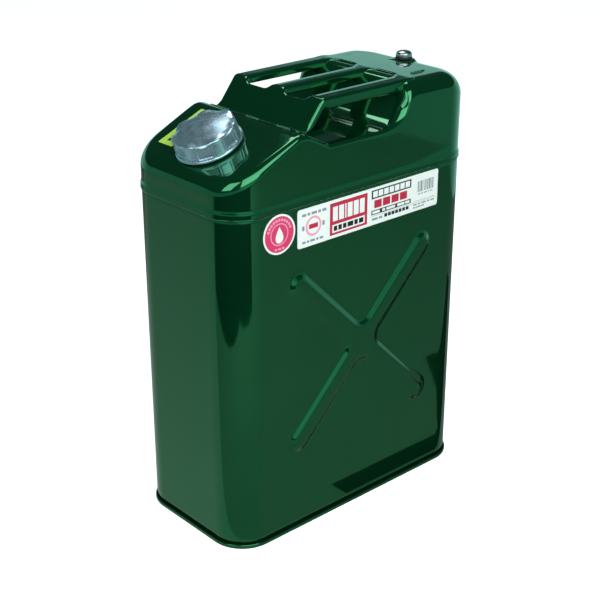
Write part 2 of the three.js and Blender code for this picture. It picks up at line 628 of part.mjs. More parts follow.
can.add(mouthGroup);
addMesh(mouthGroup, 'mouth_neck', makeNeck(), steel());
addMesh(mouthGroup, 'mouth_backing_ring', makeBackingRing(), steel());
addMesh(mouthGroup, 'cap_gasket', makeGasket(), rubber());
addMesh(mouthGroup, 'cap', makeCap(), plating());

const ventGroup = new THREE.Group();
ventGroup.position.set(VENT_X, 0, BODY_HEIGHT);
can.add(ventGroup);
addMesh(ventGroup, 'air_screw', makeVentScrew(), plating());
addMesh(ventGroup, 'air_screw_seal', makeVentSeal(), rubber());
addMesh(ventGroup, 'air_screw_boss', makeVentBoss(), steel());

const mainLabel = { ...MAIN_LABEL, z: LAP_BOTTOM_Z - MAIN_LABEL.belowLap - MAIN_LABEL.height / 2 };
addMesh(can, 'main_label', wallSticker(mainLabel), paper(0xf4f6f5));
const disc = ROUND_LABEL.diameter;
const roundLabel = {
  length: disc, height: disc, corner: disc / 2, x: ROUND_LABEL.x,
  z: LAP_BOTTOM_Z - ROUND_LABEL.belowLap - disc / 2,
};
addMesh(can, 'round_label', wallSticker(roundLabel), paper(0xe0407a));
addMesh(can, 'caution_label', makeCautionLabel(), paper(0xc8dc5a));

export default can;
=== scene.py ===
import math

import bmesh
import bpy
import numpy as np
from bpy.props import FloatProperty, FloatVectorProperty, IntProperty, PointerProperty
from bpy.types import Operator, Panel, PropertyGroup
from mathutils import Matrix, Vector
from mathutils.geometry import delaunay_2d_cdt


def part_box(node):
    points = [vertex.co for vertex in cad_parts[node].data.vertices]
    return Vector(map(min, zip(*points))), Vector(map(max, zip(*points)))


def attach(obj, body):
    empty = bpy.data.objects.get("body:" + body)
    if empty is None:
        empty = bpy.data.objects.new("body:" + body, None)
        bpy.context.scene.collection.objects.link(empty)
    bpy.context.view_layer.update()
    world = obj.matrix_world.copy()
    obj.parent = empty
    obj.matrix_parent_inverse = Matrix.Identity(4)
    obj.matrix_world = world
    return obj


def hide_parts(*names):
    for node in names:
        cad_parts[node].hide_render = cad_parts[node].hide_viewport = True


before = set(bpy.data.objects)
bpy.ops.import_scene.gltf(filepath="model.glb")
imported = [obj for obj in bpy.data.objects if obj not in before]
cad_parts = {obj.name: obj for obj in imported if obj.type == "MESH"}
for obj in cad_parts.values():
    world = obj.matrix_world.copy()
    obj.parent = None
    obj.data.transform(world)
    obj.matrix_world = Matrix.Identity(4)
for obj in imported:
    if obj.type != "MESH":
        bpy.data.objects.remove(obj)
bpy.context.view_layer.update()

bl_info = {
    "name": "Steel petrol can",
    "version": (1, 0, 0),
    "blender": (4, 5, 0),
    "location": "View3D > Sidebar > Petrol can",
    "description": "Builds a 20-litre can's steel shell, handle, cap and stickers round its CAD frame",
    "category": "Object",
}

MM = 0.001
POLE = 0.01 * MM  # radius of the tiny ring that ends a turned piece at its axis
UP = Vector((0, 0, 1))


# ---- sizes and colours that a user would change ---------------------------------------------------
def length(name, description, millimetres):
    """A size in the panel, given here in millimetres and kept in metres."""
    return FloatProperty(
        name=name, description=description, default=millimetres * MM, unit="LENGTH", precision=5)


def angle(name, description, degrees):
    """A turn or slope in the panel, given here in degrees."""
    return FloatProperty(
        name=name, description=description, default=math.radians(degrees), unit="ROTATION")


def linear(code):
    """An sRGB hex value as linear red, green and blue."""
    channels = [int(code[k:k + 2], 16) / 255 for k in (1, 3, 5)]
    return [c / 12.92 if c <= 0.04045 else ((c + 0.055) / 1.055) ** 2.4 for c in channels]


def colour(name, description, code):
    """A colour in the panel, given here as an sRGB hex value."""
    return FloatVectorProperty(
        name=name, description=description, default=linear(code), subtype="COLOR", min=0, max=1)


class BodySizes(PropertyGroup):
    """The body's sheet, its plan, its rolled bottom seam and the cross on its wide faces."""

    sheet: length("Sheet", "Thickness of the steel sheet", 1)
    corner: length("Corner radius", "Radius of the body's upright corners", 38)
    rise: length("Bottom rise", "How far the bottom plate lies above the floor", 10)
    hem_height: length("Seam height", "Height of the rolled bottom seam", 5)
    hem_roll: length("Seam roll", "Radius of the seam's rolled edge", 1.4)
    dish_bend: length("Dish bend", "Bend between the bottom's upright wall and its plate", 4)
    crest: length("Cross crest", "Width of the pressed cross's flat crest", 12)
    flank: length("Cross flank", "Width of each of its sloping flanks", 9)
    height: length("Cross height", "How far the cross stands out", 4)
    fillet: length("Cross fillet", "Radius between two arms", 20)
    cross_above_floor: length("Cross above floor", "Floor to the lower arms' ends", 96)
    cross_below_lap: length("Cross below lap", "Top shell's lower edge to the upper arms' ends", 70)
    cross_x: length("Cross centre", "Cross's centre, forward of or behind the body's middle", 4)
    ripple: length("Ripple", "How far the large flat sheets are from true", 0.08)


class TopSizes(PropertyGroup):
    """The top shell's side view and its bent edges."""

    lap: length("Lap", "How far the top shell slips over the tub", 5)
    lap_out: length("Lap outset", "How far the lap stands out from the wall", 1.15)
    joggle: length("Joggle", "Height of the step above the lap", 5)
    shoulder_drop: length("Shoulder drop", "Rear panel down to the shoulder's foot", 62.5)
    shoulder_slope: angle("Shoulder slope", "Slope of the shoulder that carries the cap", 22.8)
    crest_setback: length("Crest setback", "Front wall to the shoulder's crest", 94.5)
    crest_bend: length("Crest bend", "Bend at the shoulder's crest", 20)
    valley_depth: length("Valley depth", "Rear panel down to the hand valley's floor", 42)
    valley_setback: length("Valley setback", "Front wall to the valley's front corner", 128.5)
    valley_front_bend: length("Valley front bend", "Bend at the valley's front corner", 10)
    valley_rear_bend: length("Valley rear bend", "Bend at the valley's rear corner", 45)
    rise_run: length("Rise run", "How far the valley's rear wall leans", 14.5)
    panel_length: length("Panel length", "Rear wall to the rear panel's front corner", 99.5)
    panel_bend: length("Panel bend", "Bend at the rear panel's front corner", 14)
    panel_fall: length("Panel fall", "How far the rear panel falls from its middle to the rear edge", 1.4)
    front_edge: length("Front edge", "Bend between the shoulder's foot and the walls", 13)
    crest_edge: length("Crest edge", "Bend between the crest and the walls", 6)
    valley_edge: length("Valley edge", "Bend between the valley and the walls", 4)
    panel_edge: length("Panel edge", "Bend between the rear panel and the side walls", 20)
    rear_edge: length("Rear edge", "Bend between the rear panel and the rear wall", 28)
    seat_margin: length("Air-screw seat", "How far the flat seat reaches past the seal", 2)


class HandleSizes(PropertyGroup):
    """The three-bar handle, pressed from one sheet."""

    reach: length("Reach", "Front wall to the bend at the top of the front plate", 133.5)
    leg_run: length("Leg run", "How far the front plate slopes forward", 24.5)
    foot: length("Foot", "Length of the welded foot", 10)
    bend: length("Bend", "Bend between the bars and the front plate", 6)
    slot_length: length("Slot length", "Length of the two slots", 127)
    slot_width: length("Slot width", "Width of each slot", 40)
    slot_dip: length("Slot dip", "How far the slots run into the front plate", 3)
    slot_corner: length("Slot corner", "Radius of the slots' corners", 10)
    middle_bar: length("Middle bar", "Width of the bar between the slots", 20)
    roll: length("Edge roll", "Radius of the turned-down edges", 3.6)
    outer_flange: length("Outer flange", "Depth of the outer turned-down edges", 11.5)
    inner_flange: length("Inner flange", "Depth of the edges along the slots", 8)
    leg_flange: length("Leg flange", "Depth of the edges down the front plate", 6)
    tab_width: length("Tab width", "Width of the tab welded on the rear panel", 104)
    tab_length: length("Tab length", "Length of that tab", 44)


class MouthSizes(PropertyGroup):
    """Mouth, cap and air screw."""

    setback: length("Mouth setback", "Front wall to the mouth's axis", 44)
    bore: length("Bore", "Clear bore of the mouth", 40)
    wall: length("Neck wall", "Thickness of the neck's wall", 2.5)
    neck: length("Neck height", "Height of the neck above the shoulder", 17)
    pitch: length("Thread pitch", "Pitch of the neck's thread", 4)
    thread: length("Thread depth", "Height of the thread's crest", 1.4)
    cap_bore: length("Cap bore", "Inner radius of the cap", 24.7)
    cap_top: length("Cap top", "Radius of the cap's top edge", 33.5)
    cap_rim: length("Cap rim", "Radius of the cap's rolled rim", 35.8)
    cap_lift: length("Cap lift", "Cap's rim above the shoulder", 1.4)
    cap_height: length("Cap height", "Shoulder to the edge of the cap's top", 20.5)
    cap_dome: length("Cap dome", "Rise of the cap's top", 3.4)
    grips: IntProperty(name="Grips", description="Flat grips sunk round the cap", default=7, min=5)
    grip_depth: length("Grip depth", "Depth of the grips", 1.6)
    grip_turn: angle("Grip turn", "From the axis's uphill side to the first grip", 20.6)
    screw_head: length("Air-screw head", "Width of the air screw's head", 18.5)


class Finishes(PropertyGroup):
    """The colours of every finish."""

    lacquer: colour("Lacquer", "Green lacquer over tinned steel", "#0d6e43")
    lacquer_deep: colour("Lacquer, thick", "The lacquer where its film is thick", "#0a6439")
    zinc: colour("Cap", "Blue-bright zinc plating of the cap", "#b4d4e6")
    nickel: colour("Air screw", "Nickel plating of the air screw", "#c9d0d6")
    steel: colour("Bare steel", "Plain steel of the neck and the inner rings", "#8f9496")
    rubber: colour("Rubber", "Black fuel-proof rubber", "#16171a")
    paper: colour("Sticker", "White film of the main sticker", "#f1f6f4")
    red: colour("Red ink", "Red ink of the main sticker", "#c22a48")
    black: colour("Black ink", "Black ink of the stickers", "#1c2124")
    grey: colour("Grey ink", "Fine lines, seen as grey", "#8d979b")
    rose: colour("Rose ink", "The round sticker's ground", "#dc3c6c")
    blush: colour("Blush ink", "The round sticker's rings", "#f5a3bd")
    lime: colour("Lime film", "The yellow-green sticker's ground", "#b4e05c")


class StudioSizes(PropertyGroup):
    """Camera and lights."""

    place: FloatVectorProperty(
        name="Camera place", description="Where the camera stands", default=(-0.8951, -0.9892, 0.8126),
        subtype="TRANSLATION", unit="LENGTH")
    azimuth: angle("Camera azimuth", "Turn of the view from straight along +Y", -41.9)
    elevation: angle("Camera elevation", "How far the camera looks down", 23.9)
    lens: FloatProperty(
        name="Lens", description="Focal length on a 36 mm sensor, in millimetres", default=77.67)
    floor: colour("Floor", "Pale floor", "#f2f3f3")


GROUPS = {
    "can_body": BodySizes, "can_top": TopSizes, "can_handle": HandleSizes,
    "can_mouth": MouthSizes, "can_finishes": Finishes, "can_studio": StudioSizes,
}


# ---- places taken from the frame ------------------------------------------------------------------
TUB_LOW, TUB_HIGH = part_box("tub")
SHELL_LOW, SHELL_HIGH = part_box("top_shell")
HANDLE_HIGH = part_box("handle")[1]
SCREW_LOW, SCREW_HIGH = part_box("air_screw")
SEAL_LOW, SEAL_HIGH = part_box("air_screw_seal")
FRONT, REAR = TUB_LOW.x, TUB_HIGH.x
SHELL_LAP = 1.3 * MM  # the shell's lap stands this far out from the walls
SHELL_WALL_Y = (SHELL_HIGH.y - SHELL_LOW.y) / 2 - SHELL_LAP
PANEL_Z = SHELL_HIGH.z
LAP_LOW_Z = SHELL_LOW.z
VENT_X = (SEAL_LOW.x + SEAL_HIGH.x) / 2


# ---- mesh tools -----------------------------------------------------------------------------------
def smooth(value, start, end):
    """0 before start, 1 after end, with soft ends."""
    share = np.clip((value - start) / (end - start), 0, 1)
    return share * share * (3 - 2 * share)


def plateau(value, start, full, fall, end):
    """0, then 1 from full to fall, then 0 again, with soft ends."""
    return smooth(value, start, full) * (1 - smooth(value, fall, end))


def arc(centre, radius, start, end, steps=5):
    """Points of an arc, angles in degrees."""
    turns = np.radians(np.linspace(start, end, steps + 1))
    return [(centre[0] + radius * math.cos(t), centre[1] + radius * math.sin(t)) for t in turns]


def rounded_line(corners, step=0.12, closed=False):
    """A line of (x, y, radius) corners with each bend drawn as an arc, a point every `step` radians."""
    points = []
    count = len(corners)
    for k, (x, y, radius) in enumerate(corners):
        at = Vector((x, y))
        if not closed and k in (0, count - 1):
            points.append(at)
            continue
        into = (at - Vector(corners[k - 1][:2])).normalized()
        out = (Vector(corners[(k + 1) % count][:2]) - at).normalized()
        turn = math.atan2(into.x * out.y - into.y * out.x, into.dot(out))
        inward = math.copysign(radius, turn) * Vector((-into.y, into.x))
        centre = at - into * radius * math.tan(abs(turn) / 2) + inward
        steps = max(2, round(abs(turn) / step))
        points += [centre - Matrix.Rotation(turn * s / steps, 2) @ inward for s in range(steps + 1)]
    return np.array([tuple(p) for p in points])


def even(points, spacing, closed=False):
    """The same line with extra points, so that none of its stretches is longer than spacing."""
    rows = []
    ends = np.roll(points, -1, axis=0) if closed else points[1:]
    for a, b in zip(points, ends):
        steps = max(1, math.ceil(np.linalg.norm(b - a) / spacing))
        rows += [a + (b - a) * s / steps for s in range(steps)]
    if not closed:
        rows.append(points[-1])
    return np.array(rows)


def add_piece(name, vertices, faces, materials, body="can", material_of=None, sharp=38):
    """A mesh object that rides on a body and takes the finishes it is given."""
    mesh = bpy.data.meshes.new(name)
    mesh.from_pydata([tuple(v) for v in vertices], [], [tuple(int(i) for i in f) for f in faces])
    for material in materials:
        mesh.materials.append(material)
    if material_of is not None:
        mesh.polygons.foreach_set("material_index", material_of)
    mesh.validate()
    mesh.shade_smooth()
    mesh.set_sharp_from_angle(angle=math.radians(sharp))
    mesh.update()
    piece = bpy.data.objects.new(name, mesh)
    bpy.context.scene.collection.objects.link(piece)
    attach(piece, body)
    return piece


def add_sheet(piece, thickness):
    """Gives an open surface the thickness of its sheet, inwards."""
    solid = piece.modifiers.new("sheet", "SOLIDIFY")
    solid.thickness = thickness
    solid.offset = -1


def bands(rows, columns, start=0):
    """Quads between closed rows of points that lie one after another, each row of the same length."""
    k = np.arange(columns)
    after = (k + 1) % columns
    faces = []
    for r in range(rows - 1):
        low, high = start + r * columns, start + (r + 1) * columns
        faces.append(np.stack([low + k, low + after, high + after, high + k], axis=1))
    return np.concatenate(faces)


def turned(profile, columns, shape=None):
    """Rings of (radius, height) points about +Z. shape(radius, height, turn) may move each point."""
    turns = np.arange(columns) * 2 * math.pi / columns
    rows = []
    for radius, height in profile:
        r = np.full(columns, radius)
        z = np.full(columns, height)
        if shape:
            r, z = shape(r, z, turns)
        rows.append(np.stack([r * np.cos(turns), r * np.sin(turns), z], axis=1))
    return np.concatenate(rows), bands(len(profile), columns)


# ---- the body's plan ------------------------------------------------------------------------------
ACROSS = 40  # strips between the two long sides
CORNER_STEPS = 18


def half_plan(corner, stations):
    """The near long side of the body's plan, front to rear: x, y and the outward normal of each point."""
    half_width = SHELL_WALL_Y
    centre_x, centre_y = REAR - corner, half_width - corner
    rows = []
    for x, start in ((-centre_x, math.pi), (centre_x, 1.5 * math.pi)):
        if x > 0:
            inner = stations[np.abs(stations) < centre_x - 0.5 * MM]
            rows += [(s, -half_width, 0, -1) for s in inner]
        for k in range(CORNER_STEPS + 1):
            turn = start + k / CORNER_STEPS * math.pi / 2
            nx, ny = math.cos(turn), math.sin(turn)
            rows.append((x + corner * nx, -centre_y + corner * ny, nx, ny))
    return np.array(rows)


def whole_plan(half):
    """The plan's closed loop: near side, rear face, far side, front face."""
    far = half[::-1] * (1, -1, 1, -1)
    shares = np.arange(1, ACROSS) / ACROSS
    y = half[-1][1] * (1 - 2 * shares)
    rear = np.stack([np.full_like(y, half[-1][0]), y, np.ones_like(y), 0 * y], axis=1)
    front = rear[::-1] * (-1, 1, -1, 1)
    return np.concatenate([half, rear, far, front])


def ring(plan, inset, z):
    """One ring of points round the body, `inset` inside the plan, at height z."""
    inset = np.broadcast_to(inset, len(plan))
    z = np.broadcast_to(z, len(plan))
    return np.stack([plan[:, 0] - plan[:, 2] * inset, plan[:, 1] - plan[:, 3] * inset, z], axis=1)


def lid(points, first, half_count):
    """A grid of quads that closes the ring which starts at index `first`; returns new points and faces."""
    loop = points[first:]
    count = half_count
    side = count + ACROSS - 1  # points along one long side and one short one

    def on_ring(k, j):
        if j == 0:
            return first + k
        if j == ACROSS:
            return first + side + count - 1 - k
        if k == 0:
            return first + side + count + ACROSS - 1 - j
        return first + count + j - 1

    new, index = [], {}
    for k in range(1, count - 1):
        near, far = loop[k], loop[on_ring(k, ACROSS) - first]
        for j in range(1, ACROSS):
            index[k, j] = len(points) + len(new)
            new.append(near + (far - near) * j / ACROSS)

    def at(k, j):
        return index[k, j] if (k, j) in index else on_ring(k, j)

    faces = [(at(k, j), at(k + 1, j), at(k + 1, j + 1), at(k, j + 1))
             for k in range(count - 1) for j in range(ACROSS)]
    return np.array(new), np.array(faces)


def ripple(x, y, z, amount):
    """The slight unevenness of a large pressed sheet."""
    short = np.sin(x * 31 + 1.3 * np.sin(z * 17)) * np.sin(z * 23 + 0.7)
    return amount * (short + np.sin(x * 13 - z * 19 + y * 25))


# ---- the top's section ----------------------------------------------------------------------------
def top_line(top):
    """The top's middle section, front to rear, as arrays of x and z."""
    foot_z = PANEL_Z - top.shoulder_drop
    crest_z = foot_z + top.crest_setback * math.tan(top.shoulder_slope)
    valley_z = PANEL_Z - top.valley_depth
    panel_x = REAR - top.panel_length
    line = rounded_line([
        (FRONT, foot_z, 0),
        (FRONT + top.crest_setback, crest_z, top.crest_bend),
        (FRONT + top.valley_setback, valley_z, top.valley_front_bend),
        (panel_x - top.rise_run, valley_z, top.valley_rear_bend),
        (panel_x, PANEL_Z, top.panel_bend),
        (REAR, PANEL_Z - top.panel_fall, 0),
    ], step=0.05)
    return line[:, 0], line[:, 1]


def edge_radius(top, x):
    """The bend radius of the top's edge at x."""
    panel_x = REAR - top.panel_length
    crest_x = FRONT + top.crest_setback
    valley_x = FRONT + top.valley_setback
    radius = top.front_edge
    for following, start, end in (
            (top.crest_edge, FRONT, crest_x),
            (top.valley_edge, crest_x, valley_x),
            (top.panel_edge, panel_x - top.valley_rear_bend, panel_x + top.panel_bend),
            (top.rear_edge, REAR - 38 * MM, REAR)):
        radius = radius + (following - radius) * smooth(x, start, end)
    return radius


# ---- materials ------------------------------------------------------------------------------------
def add(tree, kind, inputs=None, **settings):
    """Adds a node with its settings, and sets or links each input named by its socket."""
    node = tree.nodes.new(kind)
    for key, value in settings.items():
        setattr(node, key, value)
    for key, value in (inputs or {}).items():
        if isinstance(value, bpy.types.NodeSocket):
            tree.links.new(value, node.inputs[key])
        else:
            node.inputs[key].default_value = value
    return node


def start_material(name, colour, **shader):
    """A material with its shader, and the place on the piece that its patterns are measured from."""
    material = bpy.data.materials.get(name)
    if material:
        bpy.data.materials.remove(material)
    material = bpy.data.materials.new(name)
    material.use_nodes = True
    tree = material.node_tree
    surface = tree.nodes["Principled BSDF"]
    surface.inputs["Base Color"].default_value = (*colour, 1)
    for key, value in shader.items():
        surface.inputs[key.replace("_", " ").title().replace("Ior", "IOR")].default_value = value
    material.diffuse_color = (*colour, 1)
    place = add(tree, "ShaderNodeTexCoord").outputs["Object"]
    return material, tree, surface, place


def per_metre(millimetres):
    """Texture scale that puts one cell of a pattern every so many millimetres."""
    return 1 / (millimetres * MM)


def dress(tree, surface, colours, clouds, dull, span, relief, strength, depth):
    """Colours and roughness that follow clouds, and a bump that follows relief, so many millimetres deep.
    dull is the roughness at the two ends of span, the stretch of the clouds' values that counts."""
    if colours:
        shade = add(tree, "ShaderNodeMix", {
            "Factor": clouds.outputs["Fac"], 6: (*colours[0], 1), 7: (*colours[1], 1)}, data_type="RGBA")
        tree.links.new(shade.outputs[2], surface.inputs["Base Color"])
    gloss = add(tree, "ShaderNodeMapRange", {
        "Value": clouds.outputs["Fac"], "From Min": span[0], "From Max": span[1],
        "To Min": dull[0], "To Max": dull[1]})
    tree.links.new(gloss.outputs[0], surface.inputs["Roughness"])
    bump = add(tree, "ShaderNodeBump", {
        "Height": relief.outputs["Fac"], "Strength": strength, "Distance": depth * MM})
    tree.links.new(bump.outputs["Normal"], surface.inputs["Normal"])


def shaded(colour, factor):
    return [channel * factor for channel in colour]


def green_lacquer(name, look):
    """Translucent green lacquer, baked on bright tinned steel: the steel's mirror shows green through it,
    under a clear wet surface. Faint orange peel, clouds of thicker film, hand marks, rubbed standing edge."""
    material, tree, surface, place = start_material(
        name, look.lacquer, metallic=0.88, roughness=0.1, coat_weight=0.65, coat_roughness=0.03, coat_ior=1.5)
    film = add(tree, "ShaderNodeTexNoise", {"Vector": place, "Scale": per_metre(70), "Detail": 3.0})
    tint = add(tree, "ShaderNodeMix", {
        "Factor": film.outputs["Fac"], 6: (*look.lacquer_deep, 1), 7: (*look.lacquer, 1)}, data_type="RGBA")
    # Nibs of dust under the film, drawn at 3 mm because real ones are too fine to show.
    dust = add(tree, "ShaderNodeTexNoise", {"Vector": place, "Scale": per_metre(3), "Detail": 2.0})
    nibs = add(tree, "ShaderNodeMapRange", {
        "Value": dust.outputs["Fac"], "From Min": 0.7, "From Max": 0.8, "To Min": 0.0, "To Max": 0.3})
    dusty = add(tree, "ShaderNodeMix", {
        "Factor": nibs.outputs[0], 6: tint.outputs[2], 7: (0.03, 0.2, 0.1, 1)}, data_type="RGBA")
    # The standing edge is rubbed through to bare steel within 1.2 mm of the floor.
    height = add(tree, "ShaderNodeSeparateXYZ", {"Vector": place})
    rub = add(tree, "ShaderNodeMapRange", {
        "Value": height.outputs["Z"], "From Min": 0.0, "From Max": 1.2 * MM, "To Min": 1.0, "To Max": 0.0})
    patches = add(tree, "ShaderNodeTexNoise", {"Vector": place, "Scale": per_metre(9), "Detail": 4.0})
    worn = add(tree, "ShaderNodeMath", {
        0: rub.outputs[0], 1: patches.outputs["Fac"]}, operation="MULTIPLY")
    bare = add(tree, "ShaderNodeMix", {
        "Factor": worn.outputs[0], 6: dusty.outputs[2], 7: (0.3, 0.32, 0.31, 1)}, data_type="RGBA")
    tree.links.new(bare.outputs[2], surface.inputs["Base Color"])
    # Hand marks a few centimetres wide dull the gloss; orange peel runs 5 mm from crest to crest.
    marks = add(tree, "ShaderNodeTexNoise", {"Vector": place, "Scale": per_metre(26), "Detail": 5.0})
    peel = add(tree, "ShaderNodeTexNoise", {"Vector": place, "Scale": per_metre(5), "Detail": 1.0})
    dress(tree, surface, None, marks, (0.05, 0.12), (0.35, 0.75), peel, 0.12, 0.1)
    return material


def plated_metal(name, colour, dull, grain, depth, metallic=1.0):
    """Plated metal: bright, with the grain of what lies under the plating and clouds where hands have been.
    dull is the lowest and highest roughness, grain the pattern's size in millimetres."""
    material, tree, surface, place = start_material(name, colour, metallic=metallic)
    clouds = add(tree, "ShaderNodeTexNoise", {"Vector": place, "Scale": per_metre(7), "Detail": 4.0})
    fine = add(tree, "ShaderNodeTexNoise", {"Vector": place, "Scale": per_metre(grain), "Detail": 3.0})
    dress(tree, surface, (shaded(colour, 0.8), colour), clouds, dull, (0.3, 0.7), fine, 0.5, depth)
    return material


def moulded_rubber(name, colour):
    """Nitrile rubber, moulded: matt black with a fine bloom on it."""
    material, tree, surface, place = start_material(name, colour, roughness=0.6, ior=1.52)
    bloom = add(tree, "ShaderNodeTexNoise", {"Vector": place, "Scale": per_metre(2), "Detail": 4.0})
    dress(tree, surface, (colour, shaded(colour, 2.2)), bloom, (0.45, 0.75), (0, 1), bloom, 0.3, 0.05)
    return material


def printed_film(name, colour):
    """Printed vinyl film under a clear laminate: flat colour, slightly mottled, with an even soft gloss."""
    material, tree, surface, place = start_material(name, colour, roughness=0.3, ior=1.46)
    mottle = add(tree, "ShaderNodeTexNoise", {"Vector": place, "Scale": per_metre(4), "Detail": 4.0})
    dress(tree, surface, (shaded(colour, 0.88), colour), mottle, (0.22, 0.42), (0, 1), mottle, 0.15, 0.05)
    return material


def lacquer():
    """The one green lacquer that every painted piece shares."""
    name = "green_lacquer_on_tinned_steel"
    return bpy.data.materials.get(name) or green_lacquer(name, bpy.context.scene.can_finishes)


# ---- the pressed-steel body -----------------------------------------------------------------------
def cross_height(x, z, body):
    """How far the pressed cross stands out at each x and z of a wide face."""
    top_z = LAP_LOW_Z - body.cross_below_lap
    middle_z = (top_z + body.cross_above_floor) / 2
    half = body.crest / 2
    reach = math.sqrt(2) * (top_z - middle_z - half - body.flank)
    u = np.abs(x - body.cross_x + z - middle_z) / math.sqrt(2)
    v = np.abs(x - body.cross_x - z + middle_z) / math.sqrt(2)
    along, across = np.maximum(u, v), np.minimum(u, v)
    distance = np.hypot(np.maximum(along - reach, 0), across) - half
    notch = half + body.fillet
    in_notch = body.fillet - np.hypot(notch - u, notch - v)
    distance = np.where(along < notch, in_notch, distance)
    return body.height * (1 - smooth(distance, 0, body.flank))


class PETROLCAN_OT_tub(Operator):
    """Builds the tub: four walls with a raised cross on each wide face"""

    bl_idname = "petrol_can.tub"
    bl_label = "Tub"

    def execute(self, context):
        body = context.scene.can_body
        top = context.scene.can_top
        half = half_plan(body.corner, np.arange(FRONT, REAR, 2 * MM) + 1 * MM)
        plan = whole_plan(half)
        margin = 4 * MM  # the fine rows reach this far past the cross
        cross_low = body.cross_above_floor - margin
        cross_high = LAP_LOW_Z - body.cross_below_lap + margin
        heights = np.concatenate([
            np.linspace(body.hem_height - 1 * MM, cross_low, 12)[:-1],
            np.arange(cross_low, cross_high, 2.3 * MM),
            np.linspace(cross_high, LAP_LOW_Z + top.lap - 0.4 * MM, 9)])
        rows = []
        for z in heights:
            row = ring(plan, 0, z)
            wide = np.abs(plan[:, 3]) > 0.999
            out = np.where(wide, cross_height(row[:, 0], z, body), 0)
            fade = smooth(body.corner + REAR - np.abs(row[:, 0]), 2 * body.corner, 2 * body.corner + 40 * MM)
            out = out + np.where(wide, fade * ripple(row[:, 0], row[:, 1], z, body.ripple), 0)
            row[:, 1] += plan[:, 3] * out
            rows.append(row)
        piece = add_piece("tub_walls", np.concatenate(rows), bands(len(rows), len(plan)), [lacquer()])
        add_sheet(piece, body.sheet)
        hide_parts("tub")
        return {"FINISHED"}


class PETROLCAN_OT_bottom(Operator):
    """Builds the dished bottom plate with its rolled seam"""

    bl_idname = "petrol_can.bottom"
    bl_label = "Bottom plate and seam"

    def execute(self, context):
        body = context.scene.can_body
        plan = whole_plan(half_plan(body.corner, np.arange(FRONT, REAR, 6 * MM)))
        out = -(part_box("bottom_plate")[1].y - SHELL_WALL_Y)
        roll = body.hem_roll
        inner = 2.3 * body.sheet
        profile = [(0.2 * MM, body.hem_height - 0.5 * MM)]
        profile += arc((out + roll, body.hem_height - roll), roll, 90, 180)
        profile += arc((out + roll, roll), roll, 180, 270)
        profile += arc((inner - 1 * MM, 1 * MM), 1 * MM, 270, 360)
        profile += arc((inner + body.dish_bend, body.rise - body.dish_bend), body.dish_bend, 180, 90)
        rings = [ring(plan, inset, z) for inset, z in profile]
        count = len(plan)
        faces = [tuple(f) for f in bands(len(rings), count)[:, ::-1]]
        faces.append(tuple(range(len(rings) * count - 1, (len(rings) - 1) * count - 1, -1)))
        piece = add_piece("bottom_seam_and_plate", np.concatenate(rings), faces, [lacquer()])
        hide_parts("bottom_plate")
        return {"FINISHED"}


class PETROLCAN_OT_top(Operator):
    """Builds the top shell: lap, joggle, shoulder, hand valley, rear panel and air-screw seat"""

    bl_idname = "petrol_can.top"
    bl_label = "Top shell"

    def execute(self, context):
        body, top, mouth = (getattr(context.scene, g) for g in ("can_body", "can_top", "can_mouth"))
        half = half_plan(body.corner, np.arange(FRONT, REAR, 1.6 * MM))
        plan = whole_plan(half)
        line_x, line_z = top_line(top)
        radius = edge_radius(top, plan[:, 0])
        lap_top = LAP_LOW_Z + top.lap + 0.3 * MM
        wall_low = lap_top + top.joggle
        inner = 0.4 * MM  # the lap's inside, out from the wall
        curl = 0.45 * MM  # radius of the lap's lower edge
        rows = [ring(plan, -inner, LAP_LOW_Z + 1.5 * MM)]
        rows += [ring(plan, inset, z) for inset, z in arc(
            (-0.5 * (top.lap_out + inner), LAP_LOW_Z + curl), curl, 360, 180, 6)]
        rows += [ring(plan, -top.lap_out, LAP_LOW_Z + share * top.lap) for share in (0.25, 0.6, 1)]
        for share in (0.15, 0.3, 0.45, 0.6, 0.75, 0.9, 1):
            rows.append(ring(plan, -top.lap_out * (1 - smooth(share, 0, 1)), lap_top + share * top.joggle))
        bend_low = np.interp(plan[:, 0], line_x, line_z) - radius
        for share in (0.12, 0.25, 0.5, 0.75, 0.9):
            rows.append(ring(plan, 0, wall_low + share * (bend_low - wall_low)))
        for turn in np.radians(np.linspace(0, 90, 17)):
            depth = radius * (1 - math.cos(turn))
            z = np.interp(plan[:, 0] - plan[:, 2] * depth, line_x, line_z) - radius * (1 - math.sin(turn))
            rows.append(ring(plan, depth, z))
        points = np.concatenate(rows)
        walls = bands(len(rows), len(plan))
        new, cover = lid(points, (len(rows) - 1) * len(plan), len(half))
        new[:, 2] = np.interp(new[:, 0], line_x, line_z)
        points = np.concatenate([points, new])

        seat = np.hypot(points[:, 0] - VENT_X, points[:, 1]) - (SEAL_HIGH.y + top.seat_margin)
        near_top = points[:, 2] > PANEL_Z - 0.4 * top.valley_depth
        flat = (1 - smooth(seat, 0, 5 * MM)) * near_top
        points[:, 2] += np.maximum(PANEL_Z - points[:, 2], 0) * flat

        faces = np.concatenate([walls, cover])
        points, faces = open_mouth(points, faces, top, mouth)
        piece = add_piece("top_shell_skin", points, faces, [lacquer()])
        add_sheet(piece, body.sheet)
        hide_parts("top_shell")
        return {"FINISHED"}


def mouth_axis(top, mouth):
    """Where the mouth's axis meets the shoulder, and the turn that stands a piece up along it."""
    x = FRONT + mouth.setback
    z = PANEL_Z - top.shoulder_drop + mouth.setback * math.tan(top.shoulder_slope)
    return Matrix.Translation((x, 0, z)) @ Matrix.Rotation(-top.shoulder_slope, 4, "Y")


